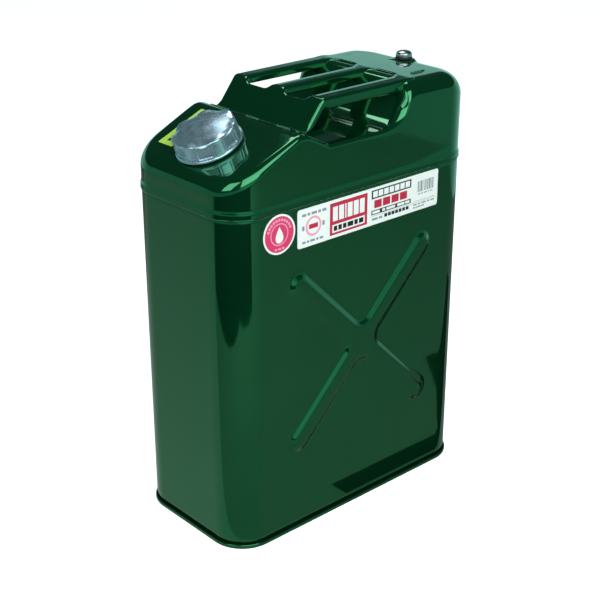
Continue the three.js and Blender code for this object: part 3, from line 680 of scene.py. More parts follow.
def open_mouth(points, faces, top, mouth):
    """Cuts the round hole under the neck: faces inside it go, and points round it move onto its edge."""
    hole = mouth.bore / 2 + 0.6 * mouth.wall
    place = mouth_axis(top, mouth)
    local = (points - np.array(place.translation)) @ np.array(place.to_3x3())
    away = np.hypot(local[:, 0], local[:, 1])
    inside = (away < hole) & (points[:, 2] > PANEL_Z - top.shoulder_drop)
    kept = faces[~inside[faces].all(axis=1)]
    used = np.zeros(len(points), bool)
    used[kept.ravel()] = True
    edge = used & inside
    local[edge, :2] *= (hole / np.maximum(away[edge], 1e-6))[:, None]
    points[edge] = (local @ np.array(place.to_3x3()).T + np.array(place.translation))[edge]
    renumber = np.cumsum(used) - 1
    return points[used], renumber[kept]


# ---- the handle -----------------------------------------------------------------------------------
class HandlePath:
    """The handle's middle line, from its foot over the front plate and the bars to the tab."""

    def __init__(self, handle, top):
        line_x, line_z = top_line(top)
        lift = HANDLE_HIGH.z - PANEL_Z
        bend_x = FRONT + handle.reach
        foot_x = bend_x - handle.leg_run
        rear_x = bend_x + handle.slot_length + handle.tab_length

        def above(x):
            return float(np.interp(x, line_x, line_z)) + lift

        panel_x = REAR - top.panel_length
        line = rounded_line([
            (foot_x - handle.foot, above(foot_x - handle.foot), 0),
            (foot_x - handle.foot / 2, above(foot_x - handle.foot / 2), 8 * MM),
            (foot_x, above(foot_x), 4 * MM),
            (bend_x, PANEL_Z + lift, handle.bend),
            (panel_x + top.panel_bend, PANEL_Z + lift, 60 * MM),
            (rear_x, above(rear_x), 0),
        ])
        spacing = 0.5 * MM
        line = even(line, spacing)
        self.x, self.z = line[:, 0], line[:, 1]
        steps = np.hypot(np.diff(self.x), np.diff(self.z))
        self.s = np.concatenate([[0], np.cumsum(steps)])
        slope = np.arctan2(np.gradient(self.z), np.gradient(self.x))
        # The normal turns over a longer stretch than the sheet does, so deep flanges don't fold.
        window = round(22 * MM / spacing)
        padded = np.pad(slope, window // 2, mode="edge")
        self.slope = np.convolve(padded, np.ones(window) / window, mode="same")[window // 2:][:len(slope)]
        self.clearance = self.z - np.interp(self.x, line_x, line_z)

    def at(self, x):
        """Distance along the path at x."""
        return float(np.interp(x, self.x, self.s))

    def place(self, s, y, depth):
        """Points at distance s, across y, and so deep under the sheet's top face."""
        tilt = np.interp(s, self.s, self.slope)
        x = np.interp(s, self.s, self.x) + depth * np.sin(tilt)
        z = np.interp(s, self.s, self.z) - depth * np.cos(tilt)
        return np.stack([x, y, z], axis=1)


def outward(loop):
    """The normals of a closed loop that runs anticlockwise, pointing out of it."""
    along = np.roll(loop, -1, axis=0) - np.roll(loop, 1, axis=0)
    along /= np.linalg.norm(along, axis=1)[:, None]
    return np.stack([along[:, 1], -along[:, 0]], axis=1)


def turned_edge(path, loop, away, depth, roll):
    """Rings for a sheet's turned-down edge, from the flat sheet down to the edge's foot.
    away points off the sheet; depth and roll may vary along the loop. The first ring lies flat."""
    roll = np.minimum(roll, 0.9 * depth)
    rings = []
    for turn in np.radians(np.linspace(0, 90, 7)):
        flat = loop - away * (roll * (1 - math.sin(turn)))[:, None]
        rings.append((flat, roll * (1 - math.cos(turn))))
    for share in (0.35, 0.7, 1):
        rings.append((loop, roll + (depth - roll) * share))
    placed = [path.place(flat[:, 0], flat[:, 1], down) for flat, down in rings]
    return rings[0][0], placed


class PETROLCAN_OT_handle(Operator):
    """Builds the three-bar handle from one pressed sheet, with turned-down edges"""

    bl_idname = "petrol_can.handle"
    bl_label = "Three-bar handle"

    def execute(self, context):
        handle, top, body = (getattr(context.scene, g) for g in ("can_handle", "can_top", "can_body"))
        path = HandlePath(handle, top)
        bend_x = FRONT + handle.reach
        half = HANDLE_HIGH.y
        tab = handle.tab_width / 2
        slot_rear = bend_x + handle.slot_length
        start, end = path.s[0], path.s[-1]
        neck = [path.at(slot_rear + k * MM) for k in (6, 14)]
        side = [(start, 4), (neck[0], 10), (neck[1], 10), (end, 8)]
        widths = [half, half, tab, tab]
        near = [(s, -w, r * MM) for (s, r), w in zip(side, widths)]
        far = [(s, w, r * MM) for (s, r), w in reversed(list(zip(side, widths)))]
        outer = even(rounded_line(near + far, closed=True), 2 * MM, closed=True)

        slot_start = path.at(bend_x - handle.slot_dip)
        slot_end = path.at(slot_rear)
        low, high = handle.middle_bar / 2, handle.middle_bar / 2 + handle.slot_width
        corners = [(slot_start, low), (slot_end, low), (slot_end, high), (slot_start, high)]
        slot = rounded_line([(s, y, handle.slot_corner) for s, y in corners], closed=True)
        slot = even(slot, 2 * MM, closed=True)
        slots = [slot, slot[::-1] * (1, -1)]

        bend_s = path.at(bend_x)
        leg_low = path.at(bend_x - handle.leg_run)
        least = 0.9 * MM  # depth of the turned edge where the sheet lies on the shell

        def room(s):
            return np.interp(s, path.s, path.clearance * np.cos(path.slope)) + 0.8 * MM

        def outer_depth(s, y):
            leg = handle.leg_flange * smooth(s, leg_low - 2 * MM, leg_low + 12 * MM)
            bar = (handle.outer_flange - handle.leg_flange) * smooth(s, bend_s - 8 * MM, bend_s + 6 * MM)
            beside = smooth(np.abs(y), half - 6 * MM, half - 2 * MM)
            return np.clip(np.minimum((leg + bar) * beside, room(s)), least, None)

        def slot_depth(s, _):
            return np.clip(np.minimum(handle.inner_flange, room(s)), least, None)

        rows, faces, flat_loops, starts = [], [], [], []
        total = 0
        for loop, sign, depth_of in [(outer, 1, outer_depth)] + [(s, -1, slot_depth) for s in slots]:
            depth = depth_of(loop[:, 0], loop[:, 1])
            roll = np.full(len(loop), handle.roll)
            first, rings = turned_edge(path, loop, sign * outward(loop), depth, roll)
            faces.append(bands(len(rings), len(loop), start=total))
            starts.append(total)
            flat_loops.append(first)
            rows += rings
            total += len(rings) * len(loop)

        flat, triangles = self.fill(path, flat_loops, half, (bend_s, leg_low, neck[0]))
        loop_sizes = [len(loop) for loop in flat_loops]
        on_loops = sum(loop_sizes)
        number = np.concatenate([
            np.concatenate([np.arange(size) + first for size, first in zip(loop_sizes, starts)]),
            np.arange(len(flat) - on_loops) + total])
        rows.append(path.place(flat[on_loops:, 0], flat[on_loops:, 1], np.zeros(len(flat) - on_loops)))
        faces = [tuple(f) for quads in faces for f in quads] + [tuple(number[list(t)]) for t in triangles]
        piece = add_piece("three_bar_handle", np.concatenate(rows), faces, [lacquer()], sharp=60)
        self.face_up(piece.data)
        add_sheet(piece, 0.9 * body.sheet)
        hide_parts("handle")
        self.add_welds(path, tab, neck[1])
        return {"FINISHED"}

    @staticmethod
    def fill(path, loops, half, tight):
        """Triangles for the sheet's flat part, between the loops; points on the loops come first."""
        def on_sheet(point):
            return is_inside(point, loops[0]) and not any(is_inside(point, hole) for hole in loops[1:])

        points = [Vector(p) for loop in loops for p in loop]
        edges, first = [], 0
        for loop in loops:
            edges += [(first + k, first + (k + 1) % len(loop)) for k in range(len(loop))]
            first += len(loop)
        stations = [np.arange(0, path.s[-1], 4 * MM)]
        stations += [np.arange(at - 9 * MM, at + 9 * MM, 1 * MM) for at in tight]
        border = np.concatenate(loops)
        for s in np.unique(np.round(np.concatenate(stations), 5)):
            for y in np.arange(-half, half, 4 * MM):
                gap = np.hypot(border[:, 0] - s, border[:, 1] - y).min()
                if gap > 1.3 * MM and on_sheet((s, y)):
                    points.append(Vector((s, y)))
        places, _, triangles, sources, _, _ = delaunay_2d_cdt(points, edges, [], 0, 1e-7)
        flat = np.array([tuple(p) for p in places])
        kept = [
            [sources[i][0] for i in face] for face in triangles if on_sheet(flat[list(face)].mean(axis=0))]
        return np.array([tuple(p) for p in points]), kept

    @staticmethod
    def face_up(mesh):
        """Turns every face the same way, with the sheet's top outwards."""
        work = bmesh.new()
        work.from_mesh(mesh)
        bmesh.ops.recalc_face_normals(work, faces=work.faces)
        if sum(f.normal.z * f.calc_area() for f in work.faces) < 0:
            bmesh.ops.reverse_faces(work, faces=work.faces)
        work.to_mesh(mesh)
        work.free()

    @staticmethod
    def add_welds(path, tab, tab_start):
        """Short weld beads that hold the handle down, painted over with the rest."""
        points, faces = [], []
        bead = 1.5 * MM
        sunk = 1.1 * MM  # the beads' middles lie this far under the sheet's top
        foot = path.s[0]
        runs = [[(foot, y * MM) for y in range(start, start + 20, 2)] for start in (-58, -10, 38)]
        for side in (-1, 1):
            runs.append([(tab_start + k * MM, side * (tab + 0.5 * MM)) for k in range(4, 22, 2)])
        for run in runs:
            for k, (s, y) in enumerate(run):
                size = bead * (1 + 0.18 * math.sin(2.4 * k + 40 * y))
                centre = path.place(np.array([s]), np.array([y]), np.array([sunk]))[0]
                blob, quads = turned([(max(r, POLE), 0.7 * z) for r, z in arc((0, 0), size, 0, 90, 4)], 12)
                faces += [tuple(q + len(points)) for q in quads]
                points += [tuple(p + centre) for p in blob]
        add_piece("handle_welds", points, faces, [lacquer()])


def is_inside(point, loop):
    """Whether a point lies inside a closed loop, counted by the edges that cross a line to its right."""
    x, y = point
    a, b = loop, np.roll(loop, -1, axis=0)
    crosses = (a[:, 1] > y) != (b[:, 1] > y)
    with np.errstate(divide="ignore", invalid="ignore"):
        at = a[:, 0] + (y - a[:, 1]) * (b[:, 0] - a[:, 0]) / (b[:, 1] - a[:, 1])
    return bool(np.count_nonzero(crosses & (at > x)) % 2)


# ---- mouth, cap and air screw ---------------------------------------------------------------------
def stand(points, place):
    """Moves points from a piece's own axis to its place on the can."""
    return points @ np.array(place.to_3x3()).T + np.array(place.translation)


class PETROLCAN_OT_neck(Operator):
    """Builds the threaded filler neck"""

    bl_idname = "petrol_can.neck"
    bl_label = "Filler neck"

    def execute(self, context):
        mouth, top = context.scene.can_mouth, context.scene.can_top
        look = context.scene.can_finishes
        bore = mouth.bore / 2
        wall = bore + mouth.wall
        below = -3 * MM
        thread_start = mouth.neck - 2 * MM - 2 * mouth.pitch

        def thread(radius, z, turn):
            on_wall = radius > wall - 0.05 * MM
            crest, root = 0.4 * MM, 1.1 * MM  # half the ridge's width at its top and at its foot
            ridge = np.zeros_like(z)
            for lap in (-1, 0, 1, 2):
                rise = thread_start + mouth.pitch * (turn / (2 * math.pi) + lap)
                ends = plateau(
                    rise, thread_start - 1 * MM, thread_start + 1 * MM,
                    mouth.neck - 3 * MM, mouth.neck - 1.4 * MM)
                ridge += ends * (1 - smooth(np.abs(z - rise), crest, root))
            return radius + on_wall * mouth.thread * np.clip(ridge, 0, 1), z

        inner, outer = 0.6 * MM, 0.8 * MM  # radii of the lip's two edges
        profile = [(bore, below), (bore, mouth.neck - inner)]
        profile += arc((bore + inner, mouth.neck - inner), inner, 180, 90, 3)
        profile += arc((wall - 0.1 * MM - outer, mouth.neck - outer), outer, 90, 0, 3)
        profile += [(wall, z) for z in np.arange(mouth.neck - 1 * MM, below, -0.35 * MM)]
        points, faces = turned(profile, 120, thread)
        metal = plated_metal("turned_steel_neck", look.steel, (0.3, 0.45), 1.2, 0.03)
        piece = add_piece(
            "filler_neck", stand(points, mouth_axis(top, mouth)), faces[:, ::-1], [metal])
        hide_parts("mouth_neck")
        return {"FINISHED"}


class PETROLCAN_OT_cap(Operator):
    """Builds the screw cap with its sunk grip panels and double ribs"""

    bl_idname = "petrol_can.cap"
    bl_label = "Screw cap"

    def execute(self, context):
        mouth, top = context.scene.can_mouth, context.scene.can_top
        look = context.scene.can_finishes
        edge = mouth.cap_height
        lift = mouth.cap_lift
        roof = edge - 0.7 * MM
        skirt_low, skirt_high = lift + 3.4 * MM, edge - 2.2 * MM
        grip_low, grip_high = skirt_low + 1.4 * MM, skirt_high - 0.8 * MM
        pitch = 2 * math.pi / mouth.grips
        half_grip = 0.3 * pitch * mouth.cap_top
        frame_depth = 0.6 * MM  # of the groove round each grip, and how fast the grip's ends sink
        dip = 0.5 * MM  # how far the side and the top's edge wave in and out, once for each grip

        def shape(radius, z, turn):
            """Sunk grips with a raised frame and a groove round it, and a top edge that dips over each."""
            outside = radius > mouth.cap_bore + 1.5 * MM
            phase = (turn - mouth.grip_turn) / pitch
            from_middle = np.abs(phase - np.round(phase)) * pitch * mouth.cap_top
            inside = half_grip - from_middle
            sunk = smooth(inside, 1.5 * MM, 2.1 * MM)
            groove = plateau(inside, -1.0 * MM, -0.4 * MM, -0.4 * MM, 0.2 * MM)
            upright = plateau(z, grip_low - frame_depth, grip_low, grip_high, grip_high + frame_depth)
            flat = 1 - (from_middle / half_grip) ** 2
            wave = np.cos(phase * 2 * math.pi)
            above_rim = smooth(z, skirt_low - 0.5 * MM, skirt_low + 3 * MM)
            depth = upright * (sunk * mouth.grip_depth * (0.55 + 0.45 * flat) + frame_depth * groove)
            depth = depth + above_rim * dip * wave
            near_edge = smooth(radius, mouth.cap_top - 8 * MM, mouth.cap_top - 1 * MM)
            top_edge = smooth(z, edge - 3 * MM, edge - 0.5 * MM) * near_edge
            depth = depth * np.where(z > edge, near_edge, 1)
            radius = radius - outside * (depth + top_edge * dip * wave)
            z = z - outside * top_edge * 0.9 * MM * wave
            return radius, z

        rim = mouth.cap_rim
        bore = mouth.cap_bore
        fillet, roll, bend = 0.6 * MM, 1.5 * MM, 2.6 * MM  # inside, round the rim and at the top's edge
        profile = [(POLE, roof), (bore - fillet, roof)]
        profile += arc((bore - fillet, roof - fillet), fillet, 90, 0, 2)
        profile += [(bore, lift + fillet)]
        profile += arc((bore + fillet, lift + fillet), fillet, 180, 270, 3)
        profile += arc((rim - roll, lift + roll), roll, 270, 430, 9)
        profile += list(zip(
            np.linspace(rim - 1.1 * MM, mouth.cap_top, 34), np.linspace(skirt_low, skirt_high, 34)))
        profile += arc((mouth.cap_top - bend, skirt_high), bend, 6, 76, 8)
        inner, dome_low = profile[-1]
        for share in np.linspace(1, 0, 24)[1:]:
            profile.append((
                max(inner * share, POLE), dome_low + mouth.cap_dome * math.cos(share * math.pi / 2)))
        points, faces = turned(profile, mouth.grips * 80, shape)
        metal = plated_metal("zinc_plated_cap", look.zinc, (0.2, 0.34), 2.5, 0.06, metallic=0.85)
        piece = add_piece(
            "filler_cap", stand(points, mouth_axis(top, mouth)), faces, [metal],
            body="cap", sharp=50)
        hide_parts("cap")
        return {"FINISHED"}


class PETROLCAN_OT_air_screw(Operator):
    """Builds the domed air screw and the rubber washer under it"""

    bl_idname = "petrol_can.air_screw"
    bl_label = "Air screw"

    def execute(self, context):
        mouth, look = context.scene.can_mouth, context.scene.can_finishes
        place = Matrix.Translation((VENT_X, 0, 0))
        head = mouth.screw_head / 2
        low = SEAL_HIGH.z + 0.3 * MM
        skirt = low + 3.1 * MM
        shank = 4 * MM

        def knurl(radius, z, turn):
            on_skirt = (radius > head - 0.4 * MM) & (z < skirt)
            return radius - on_skirt * 0.22 * MM * (0.5 - 0.5 * np.cos(36 * turn)), z

        chamfer = 0.8 * MM
        profile = [(POLE, SCREW_LOW.z), (shank - chamfer, SCREW_LOW.z)]
        profile += [(shank, SCREW_LOW.z + chamfer), (shank, low)]
        profile += arc((head - 0.5 * MM, low + 0.5 * MM), 0.5 * MM, 270, 360, 3)
        profile += [(head, low + share * 2.4 * MM) for share in (0.4, 0.7, 1)]
        dome_rise = SCREW_HIGH.z - skirt
        for turn in np.radians(np.linspace(0, 90, 14)):
            radius = max((head - 0.3 * MM) * math.cos(turn), POLE)
            profile.append((radius, skirt + dome_rise * math.sin(turn)))
        points, faces = turned(profile, 144, knurl)
        metal = plated_metal("nickel_plated_screw", look.nickel, (0.2, 0.32), 1.5, 0.02)
        screw = add_piece(
            "air_screw_head", stand(points, place), faces, [metal], body="air_screw")
        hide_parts("air_screw")

        outer, inner = SEAL_HIGH.y, shank + 0.25 * MM
        thick = SEAL_HIGH.z - SEAL_LOW.z
        profile = [(inner, SEAL_LOW.z + 0.3 * MM), (inner, SEAL_HIGH.z - 0.2 * MM)]
        profile += arc((outer - thick / 2, SEAL_LOW.z + thick / 2), thick / 2, 90, -90, 8)
        profile += [(inner, SEAL_LOW.z), (inner, SEAL_LOW.z + 0.3 * MM)]
        points, faces = turned(profile, 72)
        rubber = moulded_rubber("moulded_nitrile_rubber", look.rubber)
        seal = add_piece(
            "air_screw_washer", stand(points, place), faces[:, ::-1], [rubber],
            body="air_seal")
        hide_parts("air_screw_seal")
        return {"FINISHED"}


class PETROLCAN_OT_inner_parts(Operator):
    """Finishes the CAD pieces that stay as they are: gasket, backing ring and air-screw boss"""

    bl_idname = "petrol_can.inner_parts"
    bl_label = "Gasket, ring and boss"

    def execute(self, context):
        look = context.scene.can_finishes
        rubber = moulded_rubber("moulded_nitrile_gasket", look.rubber)
        steel = plated_metal("plain_steel_fittings", look.steel, (0.35, 0.55), 2, 0.04)
        for node, material in (
                ("cap_gasket", rubber), ("mouth_backing_ring", steel), ("air_screw_boss", steel)):
            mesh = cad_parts[node].data
            mesh.materials.clear()
            mesh.materials.append(material)
        return {"FINISHED"}


# ---- stickers -------------------------------------------------------------------------------------
INK_STEP = 0.03 * MM  # each ink lies this far above what it covers


def block(u0, v0, u1, v1):
    """A rectangle's outline from two of its corners."""
    return [(u0, v0), (u1, v0), (u1, v1), (u0, v1)]


def disc(u, v, radius, steps=40):
    """A circle's outline."""
    return arc((u, v), radius, 0, 360, steps)[:-1]


def card_outline(a, b, corner):
    """The outline of a rounded rectangle, 2a by 2b, about its middle."""
    return rounded_line([(-a, -b, corner), (a, -b, corner), (a, b, corner), (-a, b, corner)], closed=True)


def bars(u0, u1, v0, v1, shares):
    """A row of blocks between u0 and u1: shares are widths of ink and gap, one after another."""
    unit = (u1 - u0) / sum(shares)
    blocks, u = [], u0
    for k, share in enumerate(shares):
        if k % 2 == 0:
            blocks.append(block(u, v0, u + share * unit, v1))
        u += share * unit
    return blocks


def film(outline, thickness):
    """A flat film with its edge: points and faces from an outline in its own plane."""
    count = len(outline)
    points = [(u, v, 0) for u, v in outline] + [(u, v, thickness) for u, v in outline]
    faces = [tuple(range(count, 2 * count)), tuple(range(count - 1, -1, -1))]
    faces += [(k, (k + 1) % count, count + (k + 1) % count, count + k) for k in range(count)]
    return points, faces


def add_sticker(name, node, outline, inks, place, thickness):
    """A film with its printed shapes; inks is a list of (material, layer, outlines)."""
    points, faces = film(outline, thickness)
    materials, material_of = [inks[0][0]], [0] * len(faces)
    for material, layer, outlines in inks[1:]:
        if material not in materials:
            materials.append(material)
        z = thickness + layer * INK_STEP
        for shape in outlines:
            first = len(points)
            points += [(u, v, z) for u, v in shape]
            faces.append(tuple(range(first, len(points))))
            material_of.append(materials.index(material))
    piece = add_piece(
        name, stand(np.array(points), place), faces, materials, material_of=material_of)
    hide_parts(node)


class PETROLCAN_OT_stickers(Operator):
    """Builds the three stickers, printed with plain bars and shapes"""

    bl_idname = "petrol_can.stickers"
    bl_label = "Stickers"

    def execute(self, context):
        look = context.scene.can_finishes
        ink = {
            name: printed_film("printed_film_" + name, getattr(look, name))
            for name in ("paper", "red", "black", "grey", "rose", "blush", "lime")}
        self.main_sticker(ink)
        self.round_sticker(ink)
        self.lime_sticker(ink)
        return {"FINISHED"}

    @staticmethod
    def on_wall(node):
        """The sticker's middle on the near wall, facing out, and its length and height."""
        low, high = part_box(node)
        middle = (low + high) / 2
        place = Matrix.Translation((middle.x, high.y, middle.z)) @ Matrix.Rotation(math.pi / 2, 4, "X")
        return place, high.x - low.x, high.z - low.z, high.y - low.y

    def main_sticker(self, ink):
        place, wide, tall, thick = self.on_wall("main_label")
        a, b = wide / 2, tall / 2
        outline = even(card_outline(a, b, 3 * MM), 20 * MM, closed=True)

        def at(u, v):
            return (u - 0.5) * wide, (v - 0.5) * tall

        def area(u0, v0, u1, v1):
            return block(*at(u0, v0), *at(u1, v1))

        def row(u0, u1, v0, v1, shares):
            return bars(at(u0, 0)[0], at(u1, 0)[0], at(0, v0)[1], at(0, v1)[1], shares)

        ring_at = at(0.105, 0.5)
        fine = (3, 1, 2, 1, 4, 1, 2, 1, 3)
        stripes = (2, 1, 1, 1, 3, 1, 1, 2, 2, 1, 1, 1, 2, 1, 3, 1, 1, 1, 2)
        windows = (3, 0.6) * 6 + (3,)
        dashes = (2, 0.5) * 6 + (2,)
        inks = [
            (ink["paper"], 0, []),
            (ink["grey"], 1, row(0.03, 0.19, 0.8, 0.87, fine) + row(0.03, 0.17, 0.1, 0.16, fine)),
            (ink["blush"], 1, [disc(*ring_at, 0.26 * tall)]),
            (ink["paper"], 2, [disc(*ring_at, 0.2 * tall)]),
            (ink["red"], 3, [area(0.075, 0.44, 0.135, 0.56)]),
            (ink["grey"], 1, [area(0.03, 0.44, 0.045, 0.56), area(0.165, 0.44, 0.18, 0.56)]),
            (ink["red"], 1, [area(0.215, 0.08, 0.475, 0.92)]),
            (ink["paper"], 2, row(0.235, 0.455, 0.44, 0.82, (4, 1, 4, 1, 1, 1, 4, 1, 4, 1, 4))),
            (ink["paper"], 2, [area(0.232, 0.14, 0.458, 0.35)]),
            (ink["black"], 3, row(0.242, 0.448, 0.18, 0.31, (3, 1, 3, 1, 3, 1, 5, 1, 3, 1, 4))),
            (ink["black"], 1, [area(0.505, 0.7, 0.795, 0.93)]),
            (ink["paper"], 2, row(0.515, 0.785, 0.735, 0.895, windows)),
            (ink["red"], 1, row(0.525, 0.765, 0.44, 0.65, (4, 0.7, 4, 0.7, 4, 0.7, 4))),
            (ink["black"], 1, [area(0.505, 0.27, 0.795, 0.39)]),
            (ink["paper"], 2, row(0.512, 0.785, 0.295, 0.365, (5, 1.6, 2, 0.8, 6, 1.4, 5, 0.5, 3))),
            (ink["black"], 1, row(0.6, 0.78, 0.12, 0.21, dashes)),
            (ink["grey"], 1, row(0.51, 0.585, 0.12, 0.18, (5, 1, 3)) + [area(0.5, 0.232, 0.98, 0.24)]),
            (ink["grey"], 1, row(0.845, 0.965, 0.5, 0.8, stripes)),
            (ink["grey"], 1, row(0.85, 0.96, 0.43, 0.46, fine)),
            (ink["red"], 1, [area(0.82, 0.268, 0.98, 0.276)]),
            (ink["grey"], 1, row(0.815, 0.975, 0.16, 0.2, fine) + row(0.815, 0.9, 0.08, 0.12, fine)),
        ]
        add_sticker("main_sticker", "main_label", outline, inks, place, thick)

    def round_sticker(self, ink):
        place, wide, _, thick = self.on_wall("round_label")
        radius = wide / 2
        dots = [disc(*middle, 0.075 * radius, 10) for middle in arc((0, 0), 0.72 * radius, 20, 160, 10)]
        drop = [
            (0.34 * radius * math.sin(t) * math.sin(t / 2) ** 1.4, radius * (0.42 * math.cos(t) - 0.02))
            for t in np.linspace(0, 2 * math.pi, 41)[:-1]]
        inks = [
            (ink["paper"], 0, []),
            (ink["rose"], 1, [disc(0, 0, 0.9 * radius, 60)]),
            (ink["blush"], 2, [disc(0, 0, 0.56 * radius, 60)] + dots),
            (ink["rose"], 3, [disc(0, 0, 0.5 * radius, 60)]),
            (ink["paper"], 4, [drop]),
            (ink["blush"], 2, bars(
                -0.3 * radius, 0.3 * radius, -0.78 * radius, -0.68 * radius, (2, 1, 3, 1, 2))),
        ]
        outline = disc(0, 0, radius, 72)
        add_sticker("round_sticker", "round_label", outline, inks, place, thick)

    def lime_sticker(self, ink):
        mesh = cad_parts["caution_label"].data
        slope = bpy.context.scene.can_top.shoulder_slope
        tilt = Matrix.Rotation(-slope, 4, "Y")
        corners = np.array([v.co for v in mesh.vertices]) @ np.array(tilt.to_3x3())
        low, high = corners.min(axis=0), corners.max(axis=0)
        middle = (low + high) / 2
        place = tilt @ Matrix.Translation((middle[0], middle[1], low[2]))
        a, b = (high - low)[:2] / 2
        outline = card_outline(a, b, 1.5 * MM)
        inks = [
            (ink["lime"], 0, []),
            (ink["black"], 1, bars(-0.8 * a, -0.45 * a, -0.1 * b, 0.3 * b, (2, 1, 2))),
            (ink["black"], 1, bars(-0.2 * a, 0.8 * a, 0.25 * b, 0.5 * b, (3, 1, 2, 1, 4, 1, 3))),
            (ink["black"], 1, bars(-0.2 * a, 0.8 * a, -0.35 * b, -0.15 * b, (2, 1, 5, 1, 2, 1, 2))),
        ]
        thick = high[2] - low[2]
        add_sticker("lime_sticker", "caution_label", outline, inks, place, thick)


# ---- studio ---------------------------------------------------------------------------------------
class PETROLCAN_OT_stage(Operator):
    """Sets up the pale floor, the soft studio light and the camera"""

    bl_idname = "petrol_can.stage"
    bl_label = "Stage, lights and camera"

    def execute(self, context):
        studio = context.scene.can_studio
        self.add_camera(context.scene, studio)
        self.add_floor(studio)
        self.add_sky(context.scene)
        self.add_cards()
        middle = Vector((0, 0, PANEL_Z / 2))
        softboxes = (
            ("front_softbox", (-0.25, -0.62, 0.72), 1.7, (1.4, 1.2), 15, True),
            ("left_softbox", (-0.75, -0.1, 0.65), 1.6, (0.6, 0.8), 4, True),
            ("back_softbox", (0.25, 0.4, 0.88), 1.5, (0.6, 0.6), 4, True),
            ("fill_light", (-0.5, -0.8, 0.45), 2.2, (1.5, 1.5), 36, False),
        )
        for name, direction, distance, size, power, in_gloss in softboxes:
            offset = Vector(direction).normalized() * distance
            lamp = self.add_softbox(name, middle, offset, size, power)
            lamp.visible_glossy = in_gloss
        context.scene.view_settings.view_transform = "Standard"
        return {"FINISHED"}

    @staticmethod
    def add_camera(scene, studio):
        flat = math.cos(studio.elevation)
        back = Vector((
            math.sin(studio.azimuth) * flat, -math.cos(studio.azimuth) * flat, math.sin(studio.elevation)))
        right = UP.cross(back).normalized()
        up = back.cross(right)
        data = bpy.data.cameras.new("camera")
        data.lens = studio.lens
        data.clip_start = 0.01
        camera = bpy.data.objects.new("camera", data)
        turn = Matrix((right, up, back)).transposed().to_4x4()
        camera.matrix_world = Matrix.Translation(studio.place) @ turn
        scene.collection.objects.link(camera)
        scene.camera = camera

    @staticmethod
    def add_plane(name, outline, height, colour, glow=0.0):
        """A flat piece of the stage with a plain, slightly mottled paint."""
        mesh = bpy.data.meshes.new(name)
        mesh.from_pydata([(x, y, height) for x, y in outline], [], [tuple(range(len(outline)))])
        material, tree, surface, place = start_material(name + "_paint", colour, roughness=0.9)
        # Glow: the floor's own even white, and painted light on the reflection cards.
        surface.inputs["Emission Color"].default_value = (*colour, 1)
        surface.inputs["Emission Strength"].default_value = glow
        surface.inputs["Specular IOR Level"].default_value = 0.1
        mottle = add(tree, "ShaderNodeTexNoise", {"Vector": place, "Scale": per_metre(300), "Detail": 2.0})
        shade = add(tree, "ShaderNodeMix", {
            "Factor": mottle.outputs["Fac"],
            6: (*shaded(colour, 0.97), 1), 7: (*colour, 1)}, data_type="RGBA")
        tree.links.new(shade.outputs[2], surface.inputs["Base Color"])
        mesh.materials.append(material)
        plane = bpy.data.objects.new(name, mesh)
        bpy.context.scene.collection.objects.link(plane)
        return plane

    def add_floor(self, studio):
        """A glowing white floor that only the camera sees."""
        floor = self.add_plane("floor", block(-12, -12, 12, 12), 0, studio.floor, glow=1.0)
        floor.visible_glossy = False
        floor.visible_diffuse = False

    def add_cards(self):
        """Cards on the floor for the gloss to show; the camera doesn't see them and they cast no shadow. The
        grey and white cards glow, painted light in the reflections; the black cards are painted dark
        reflections, and the one at the wall's foot is a painted contact shadow.
        """
        # Near-black for the cards that put painted shade into the reflections.
        black = (0.005, 0.005, 0.005)
        cards = (
            # Grey card, glowing a little: painted light in the floor's reflection.
            ("painted_reflection_grey_card", block(-3, -3, 1.1, 2), -1 * MM, (0.6, 0.68, 0.63), 0.1),
            # White card on the left, glowing more: painted light in the reflections on the narrow face.
            ("painted_reflection_white_card", (
                (-0.17, -0.09), (-0.9, 0.3), (-3, 1.2), (-1.5, 3), (0, 0.6), (0, -0.09)),
             -0.5 * MM, (0.72, 0.87, 0.8), 0.24),
            # Black card in front of the can: a painted dark reflection.
            ("painted_dark_reflection_card", (
                (-0.82, 0.22), (-0.51, -0.54), (-0.12, -0.71), (-0.04, -3), (-3, -3), (-3, 0.8)),
             1 * MM, black, 0.0),
            # Black card along the near wall's foot: the can's contact shadow, painted into the reflections.
            ("painted_contact_shadow_card", (
                (0, -0.1), (0, -0.125), (0.2, -0.125), (0.33, -0.28), (0.7, -0.28), (0.7, -0.12),
                (0.3, -0.1)),
             0.5 * MM, black, 0.0),
        )
        for name, outline, height, colour, glow in cards:
            card = self.add_plane(name, outline, height, colour, glow)
            card.visible_camera = False
            card.visible_shadow = False

    @staticmethod
    def add_sky(scene):
        """Paper low down behind the can, a dim reflector in front, and a dark room round and above it."""
        world = bpy.data.worlds.new("studio")
        world.use_nodes = True
        tree = world.node_tree
        tree.nodes.clear()
        direction = add(tree, "ShaderNodeTexCoord").outputs["Generated"]
        height = add(tree, "ShaderNodeSeparateXYZ", {"Vector": direction})
        edge = math.sin(math.radians(13.4))
        low = add(tree, "ShaderNodeMapRange", {
            "Value": height.outputs["Z"], "From Min": edge - 0.012, "From Max": edge + 0.012,
            "To Min": 1.0, "To Max": 0.0}, interpolation_type="SMOOTHSTEP")
        behind = add(tree, "ShaderNodeVectorMath", {
            0: direction, 1: (0.67, 0.74, 0)}, operation="DOT_PRODUCT")
        facing = add(tree, "ShaderNodeMapRange", {
            "Value": behind.outputs["Value"], "From Min": 0.0, "From Max": 0.75,
            "To Min": 0.28, "To Max": 0.62}, interpolation_type="SMOOTHSTEP")
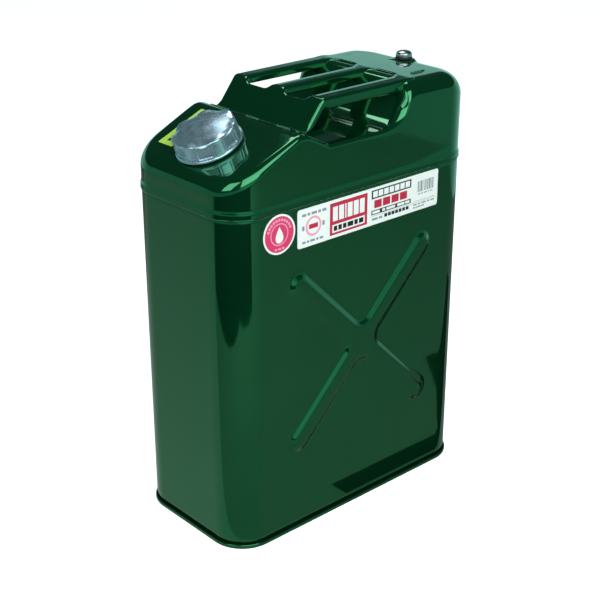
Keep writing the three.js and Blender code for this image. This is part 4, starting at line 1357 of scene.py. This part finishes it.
        # A dim reflector in front, a little above the can's middle.
        ahead = add(tree, "ShaderNodeVectorMath", {
            0: direction, 1: (-0.25, -0.9, 0.36)}, operation="DOT_PRODUCT")
        reflector = add(tree, "ShaderNodeMapRange", {
            "Value": ahead.outputs["Value"], "From Min": 0.84, "From Max": 0.97,
            "To Min": 0.05, "To Max": 0.5}, interpolation_type="SMOOTHSTEP")
        paper = add(tree, "ShaderNodeMath", {
            0: low.outputs[0], 1: facing.outputs[0], 2: reflector.outputs[0]}, operation="MULTIPLY_ADD")
        light = add(tree, "ShaderNodeBackground", {
            "Color": (0.5, 1.0, 0.92, 1), "Strength": paper.outputs[0]})
        out = add(tree, "ShaderNodeOutputWorld", {"Surface": light.outputs[0]})
        out.is_active_output = True
        scene.world = world

    @staticmethod
    def add_softbox(name, middle, offset, size, power):
        data = bpy.data.lights.new(name, "AREA")
        data.shape = "RECTANGLE"
        data.size, data.size_y = size
        data.energy = power
        lamp = bpy.data.objects.new(name, data)
        lamp.location = middle + offset
        lamp.rotation_euler = offset.to_track_quat("Z", "Y").to_euler()
        bpy.context.scene.collection.objects.link(lamp)
        return lamp


# ---- panel and registration -----------------------------------------------------------------------
STEPS = (
    PETROLCAN_OT_tub, PETROLCAN_OT_bottom, PETROLCAN_OT_top, PETROLCAN_OT_handle, PETROLCAN_OT_neck,
    PETROLCAN_OT_cap, PETROLCAN_OT_air_screw, PETROLCAN_OT_inner_parts, PETROLCAN_OT_stickers,
    PETROLCAN_OT_stage,
)


class PETROLCAN_PT_build(Panel):
    """Sizes, colours and the steps that build the can"""

    bl_label = "Petrol can"
    bl_idname = "PETROLCAN_PT_build"
    bl_space_type = "VIEW_3D"
    bl_region_type = "UI"
    bl_category = "Petrol can"

    def draw(self, context):
        for attribute, group in GROUPS.items():
            box = self.layout.box()
            box.label(text=group.__doc__)
            for name in group.__annotations__:
                box.prop(getattr(context.scene, attribute), name)
        for step in STEPS:
            self.layout.operator(step.bl_idname)


CLASSES = (*GROUPS.values(), *STEPS, PETROLCAN_PT_build)


def register():
    for item in CLASSES:
        bpy.utils.register_class(item)
    for attribute, group in GROUPS.items():
        setattr(bpy.types.Scene, attribute, PointerProperty(type=group))


def unregister():
    for attribute in GROUPS:
        delattr(bpy.types.Scene, attribute)
    for item in reversed(CLASSES):
        bpy.utils.unregister_class(item)


def main():
    register()
    for step in STEPS:
        group, name = step.bl_idname.split(".")
        getattr(getattr(bpy.ops, group), name)()


if __name__ == "__main__":
    main()
